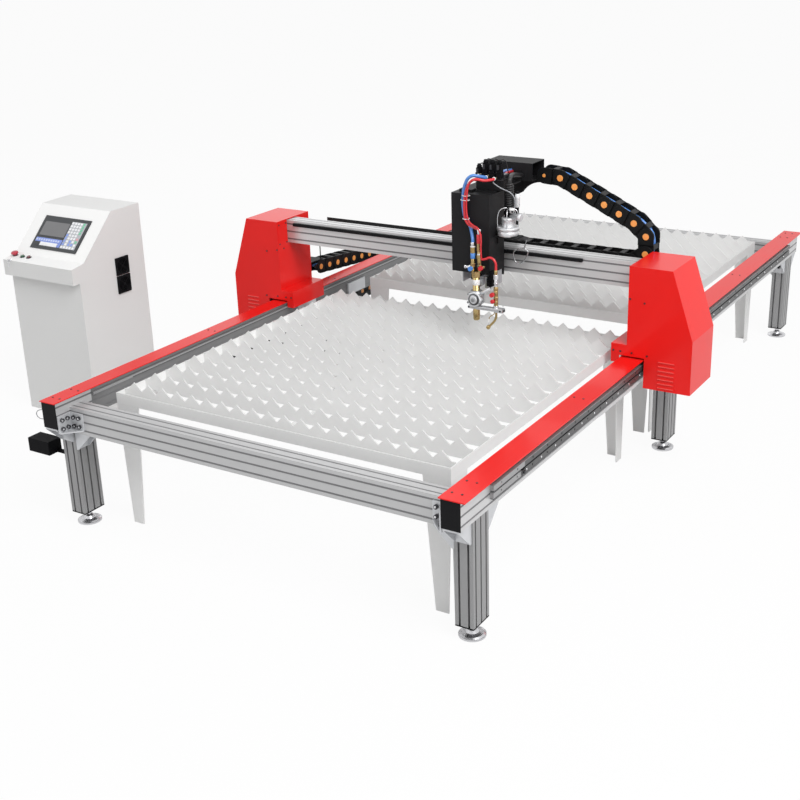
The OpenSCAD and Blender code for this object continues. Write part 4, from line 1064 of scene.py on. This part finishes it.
class CUTTER_OT_fasteners(bpy.types.Operator):
    """Guide bolts, rack teeth and the housings' trim"""
    bl_idname = "cutter.fasteners"
    bl_label = "Fasteners"

    BOLTS, TEETH, TOOTH_STEP = 28, 768, 0.005

    def execute(self, context):
        for side, way in (("left", -1), ("right", 1)):
            bolt = Blank("bolt", local=True)
            bolt.turned((0, 0, 0), (way, 0, 0), "0 4.6  1.6 4.6  2.4 3.8", "bright_bolt", 12)
            bolts = in_row("bolts", bolt.make(), self.BOLTS, at(way * 1055, 490.2, 563),
                           (0, sizes().bolt_step, 0))
            tooth = Blank("tooth", local=True)
            tooth.plate("-1.9 0  1.9 0  0.9 -4  -0.9 -4", "yz", 0 if way > 0 else -15, 15, "steel")
            teeth = in_row("teeth", tooth.make(), self.TEETH, at(way * 1041, 222.5, 552.2),
                           (0, self.TOOTH_STEP, 0))
            piece = joined("rack_fasteners_" + side, [bolts, teeth])
            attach(piece, "table")
            self.trim(side, way)
        return {"FINISHED"}

    def trim(self, side, way):
        """Filler panel beside the beam, with its screws, and the louvres low on the front."""
        blank, inner = Blank("housing_trim_" + side), 983 * way
        blank.box((inner - 1.6 * (way > 0), 1654, 934), (inner + 1.6 * (way < 0), 1734, 1056), "paint", 0.5)
        for y, z in ((1664, 1046), (1724, 1046), (1664, 944), (1724, 944), (1696, 915)):
            blank.rod((inner, y, z), (inner - way * 3.4, y, z), 4.2, "bolt", 12)
        low, high = sorted((way * 1137, way * 1212))
        for i in range(7):
            z = 514 + 20.5 * i
            blank.box((low, 1645.6, z - 1.2), (high, 1650.4, z + 2.6), "louvre", 1.2)
        piece = blank.make()
        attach(piece, "gantry")


class CUTTER_OT_slots(bpy.types.Operator):
    """Filler strips in the slots of rails, crossbeams and beam"""
    bl_idname = "cutter.slots"
    bl_label = "Slot strips"

    def run(self, name, body, faces, ends, along):
        """Strips 8 mm wide, each 1 mm under its face. A face is its axis, place, way and slot centres."""
        blank = Blank(name)
        for axis, face, way, across, centres in faces:
            for centre in centres:
                low, high = [0, 0, 0], [0, 0, 0]
                low[along], high[along] = ends
                low[axis], high[axis] = sorted((face - way * 1.0, face - way * 2.6))
                low[across], high[across] = centre - 4, centre + 4
                blank.box(low, high, "slot_strip")
        piece = blank.make()
        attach(piece, body)

    def execute(self, context):
        rail, cross, beam = (530, 570, 610), (490, 530, 570), (960, 1000, 1040)
        for side, way in (("left", -1), ("right", 1)):
            self.run("rail_strips_" + side, "table",
                     ((0, way * 960, -way, 2, rail), (0, way * 1040, way, 2, rail)), (5, 4275), 1)
        for end, near, far in (("front", 82, 162), ("rear", 4118, 4198)):
            top = (2, 590, 1, 1, (near + 20, near + 60))
            self.run("crossbeam_strips_" + end, "table",
                     ((1, near, -1, 2, cross), (1, far, 1, 2, cross), top), (-955, 955), 0)
        self.run("beam_strips", "gantry",
                 ((1, 1738, -1, 2, beam), (1, 1818, 1, 2, beam), (2, 1060, 1, 1, (1758, 1798))),
                 (-1065, 1065), 0)
        return {"FINISHED"}


class CUTTER_OT_covers(bpy.types.Operator):
    """Cover of the left rail, and the tray of the cross chain"""
    bl_idname = "cutter.covers"
    bl_label = "Covers"

    def execute(self, context):
        cover = Blank("rail_cover_left")
        cover.plate("-1043 -8  -954 -8  -954 4288  -1043 4288", "xy", 630, 4, "paint", 0.8)
        piece = cover.make()
        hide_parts("cover_left")
        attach(piece, "table")
        tray = Blank("cross_tray")
        tray.plate("1943 956  2037 956  2037 1016  2035 1016  2035 958  1945 958  1945 1016  1943 1016", "yz",
                   -935, 2075, "tray", 0.5, 1)
        for x in (-800, -400, 0, 400, 800):
            tray.box((x, 1823.3, 951), (x + 40, 2032, 955.8), "coat", 0.6)
            tray.box((x, 1818.3, 951), (x + 40, 1823, 1010), "coat", 0.6)
        piece = tray.make()
        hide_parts("xchain_tray")
        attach(piece, "gantry")
        return {"FINISHED"}


class CUTTER_OT_small_parts(bpy.types.Operator):
    """Lock and keys of the console, wire loop on the left rail, end stop of the right rack, bracket bolts"""
    bl_idname = "cutter.small_parts"
    bl_label = "Small parts"

    def execute(self, context):
        blank = Blank("small_parts")
        self.lock(blank)
        blank.hose("-1041 34 592  -1062 32 596  -1072 30 590  -1076 30 574  -1090 30 570  -1108 30 560"
                   "  -1115 30 545  -1106 30 532  -1088 30 528  -1066 31 532  -1041 34 538", 1.8, "wire", 8)
        for side in (-1, 1):
            for end, way in ((0, 1), (4280, -1)):
                for x, y, turn in ((-928, 64.5, (0, -way, 0)), (-898, 64.5, (0, -way, 0)),
                                   (-942.5, 49, (-side, 0, 0)), (-942.5, 19, (-side, 0, 0))):
                    for z in (510, 550):
                        blank.turned((-side * x, end + way * y, z), turn, "0 5  0.8 5  1.2 4.4",
                                     "bright_bolt", 12)
        blank.box((1040.5, 446, 553), (1060, 476, 574), "steel", 2)
        blank.rod((1060, 461, 564), (1065, 461, 564), 8, "bolt", 6)
        piece = blank.make()
        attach(piece, "table")
        return {"FINISHED"}

    def lock(self, blank):
        """Lock on the console's front, with one key in it and one hanging from its ring."""
        x = -2276
        blank.turned((x, 979, 876), FRONT, "0 7  2 7  3 5.5  5 5.5", "chrome", 24)
        blank.box((x - 0.8, 964, 874), (x + 0.8, 975, 878), "chrome", 0.4)
        blank.box((x - 2, 958, 868), (x + 2, 965, 884), "chrome", 1)
        ring = [(x + 5 * math.cos(a), 962, 865 + 5 * math.sin(a)) for a in circle(12, 1)]
        blank.hose(ring, 0.8, "chrome", 6, 2)
        blank.box((x - 2.5, 960.5, 840), (x + 2.5, 963, 861), "chrome", 0.8, (0, 0.1, 0))


class CUTTER_OT_stage(bpy.types.Operator):
    """Camera, floor, lamps and background"""
    bl_idname = "cutter.stage"
    bl_label = "Stage"

    FLOOR_REACH = 60
    IMAGE, FOCAL, SENSOR = 800, 1242.986, 36.0

    def execute(self, context):
        scene = context.scene
        camera = link(bpy.data.objects.new("camera", bpy.data.cameras.new("camera")))
        camera.location = at(2987.185, -3400.206, 2568.815)
        camera.rotation_euler = (1.2056443, 0.0269335, 0.5475308)
        camera.data.sensor_width = self.SENSOR
        camera.data.lens = self.FOCAL / self.IMAGE * self.SENSOR
        camera.data.shift_x = -0.0178
        camera.data.shift_y = -0.01778
        camera.data.clip_end = 200.0
        scene.camera = camera
        scene.view_settings.view_transform = "Standard"
        sky = Finish("studio", bpy.data.worlds.new("studio"))
        scene.world = sky.set(Color=(1, 1, 1), Strength=0.5).plain_to_the_eye("ShaderNodeBackground", 1.0)
        self.floor()
        self.lamp("key", (6.2, -3.8, 7.4), (0.2, 0.0, 0.5), 6.5, 790)
        self.lamp("fill", (-4.0, -6.0, 4.5), (-0.5, 0.0, 0.5), 4.5, 60)
        self.lamp("back", (-4.5, 6.8, 4.2), (0.3, 0.0, 0.6), 5.0, 30)
        return {"FINISHED"}

    def floor(self):
        reach = self.FLOOR_REACH
        data = bpy.data.meshes.new("floor")
        data.from_pydata([(-reach, -reach, 0), (reach, -reach, 0), (reach, reach, 0), (-reach, reach, 0)], [],
                         [(0, 1, 2, 3)])
        made = Finish("floor").set(Base_Color=(0.72, 0.72, 0.72), Roughness=0.9, Specular_IOR_Level=0.1)
        data.materials.append(made.plain_to_the_eye("ShaderNodeEmission", 0.94))
        floor = link(bpy.data.objects.new("floor", data))

    def lamp(self, name, place, target, size, power):
        lamp = link(bpy.data.objects.new(name, bpy.data.lights.new(name, "AREA")))
        lamp.data.shape = "DISK"
        lamp.data.size = size
        lamp.data.energy = power
        lamp.location = place
        lamp.rotation_euler = (Vector(target) - Vector(place)).to_track_quat("-Z", "Y").to_euler()


class CUTTER_PT_panel(bpy.types.Panel):
    """Lists the sizes, the colours and the pieces"""
    bl_idname = "CUTTER_PT_panel"
    bl_label = "Cutting Table"
    bl_space_type = "VIEW_3D"
    bl_region_type = "UI"
    bl_category = "Cutting Table"

    def draw(self, context):
        for group in (context.scene.cutter_sizes, context.scene.cutter_colours):
            box = self.layout.box()
            for key in group.__annotations__:
                box.prop(group, key)
        for operator in OPERATORS:
            self.layout.operator(operator.bl_idname)


OPERATORS = (CUTTER_OT_stage, CUTTER_OT_frame, CUTTER_OT_cross_chain, CUTTER_OT_long_chain,
             CUTTER_OT_torch, CUTTER_OT_gas_hoses, CUTTER_OT_gas_parts, CUTTER_OT_console,
             CUTTER_OT_fasteners, CUTTER_OT_slots, CUTTER_OT_covers, CUTTER_OT_small_parts)
CLASSES = (CUTTER_PG_sizes, CUTTER_PG_colours, *OPERATORS, CUTTER_PT_panel)


def register():
    for cls in CLASSES:
        bpy.utils.register_class(cls)
    bpy.types.Scene.cutter_sizes = bpy.props.PointerProperty(type=CUTTER_PG_sizes)
    bpy.types.Scene.cutter_colours = bpy.props.PointerProperty(type=CUTTER_PG_colours)


def unregister():
    del bpy.types.Scene.cutter_sizes
    del bpy.types.Scene.cutter_colours
    for cls in reversed(CLASSES):
        bpy.utils.unregister_class(cls)


def main():
    register()
    for operator in OPERATORS:
        group, name = operator.bl_idname.split(".")
        getattr(getattr(bpy.ops, group), name)()


if __name__ == "__main__":
    main()
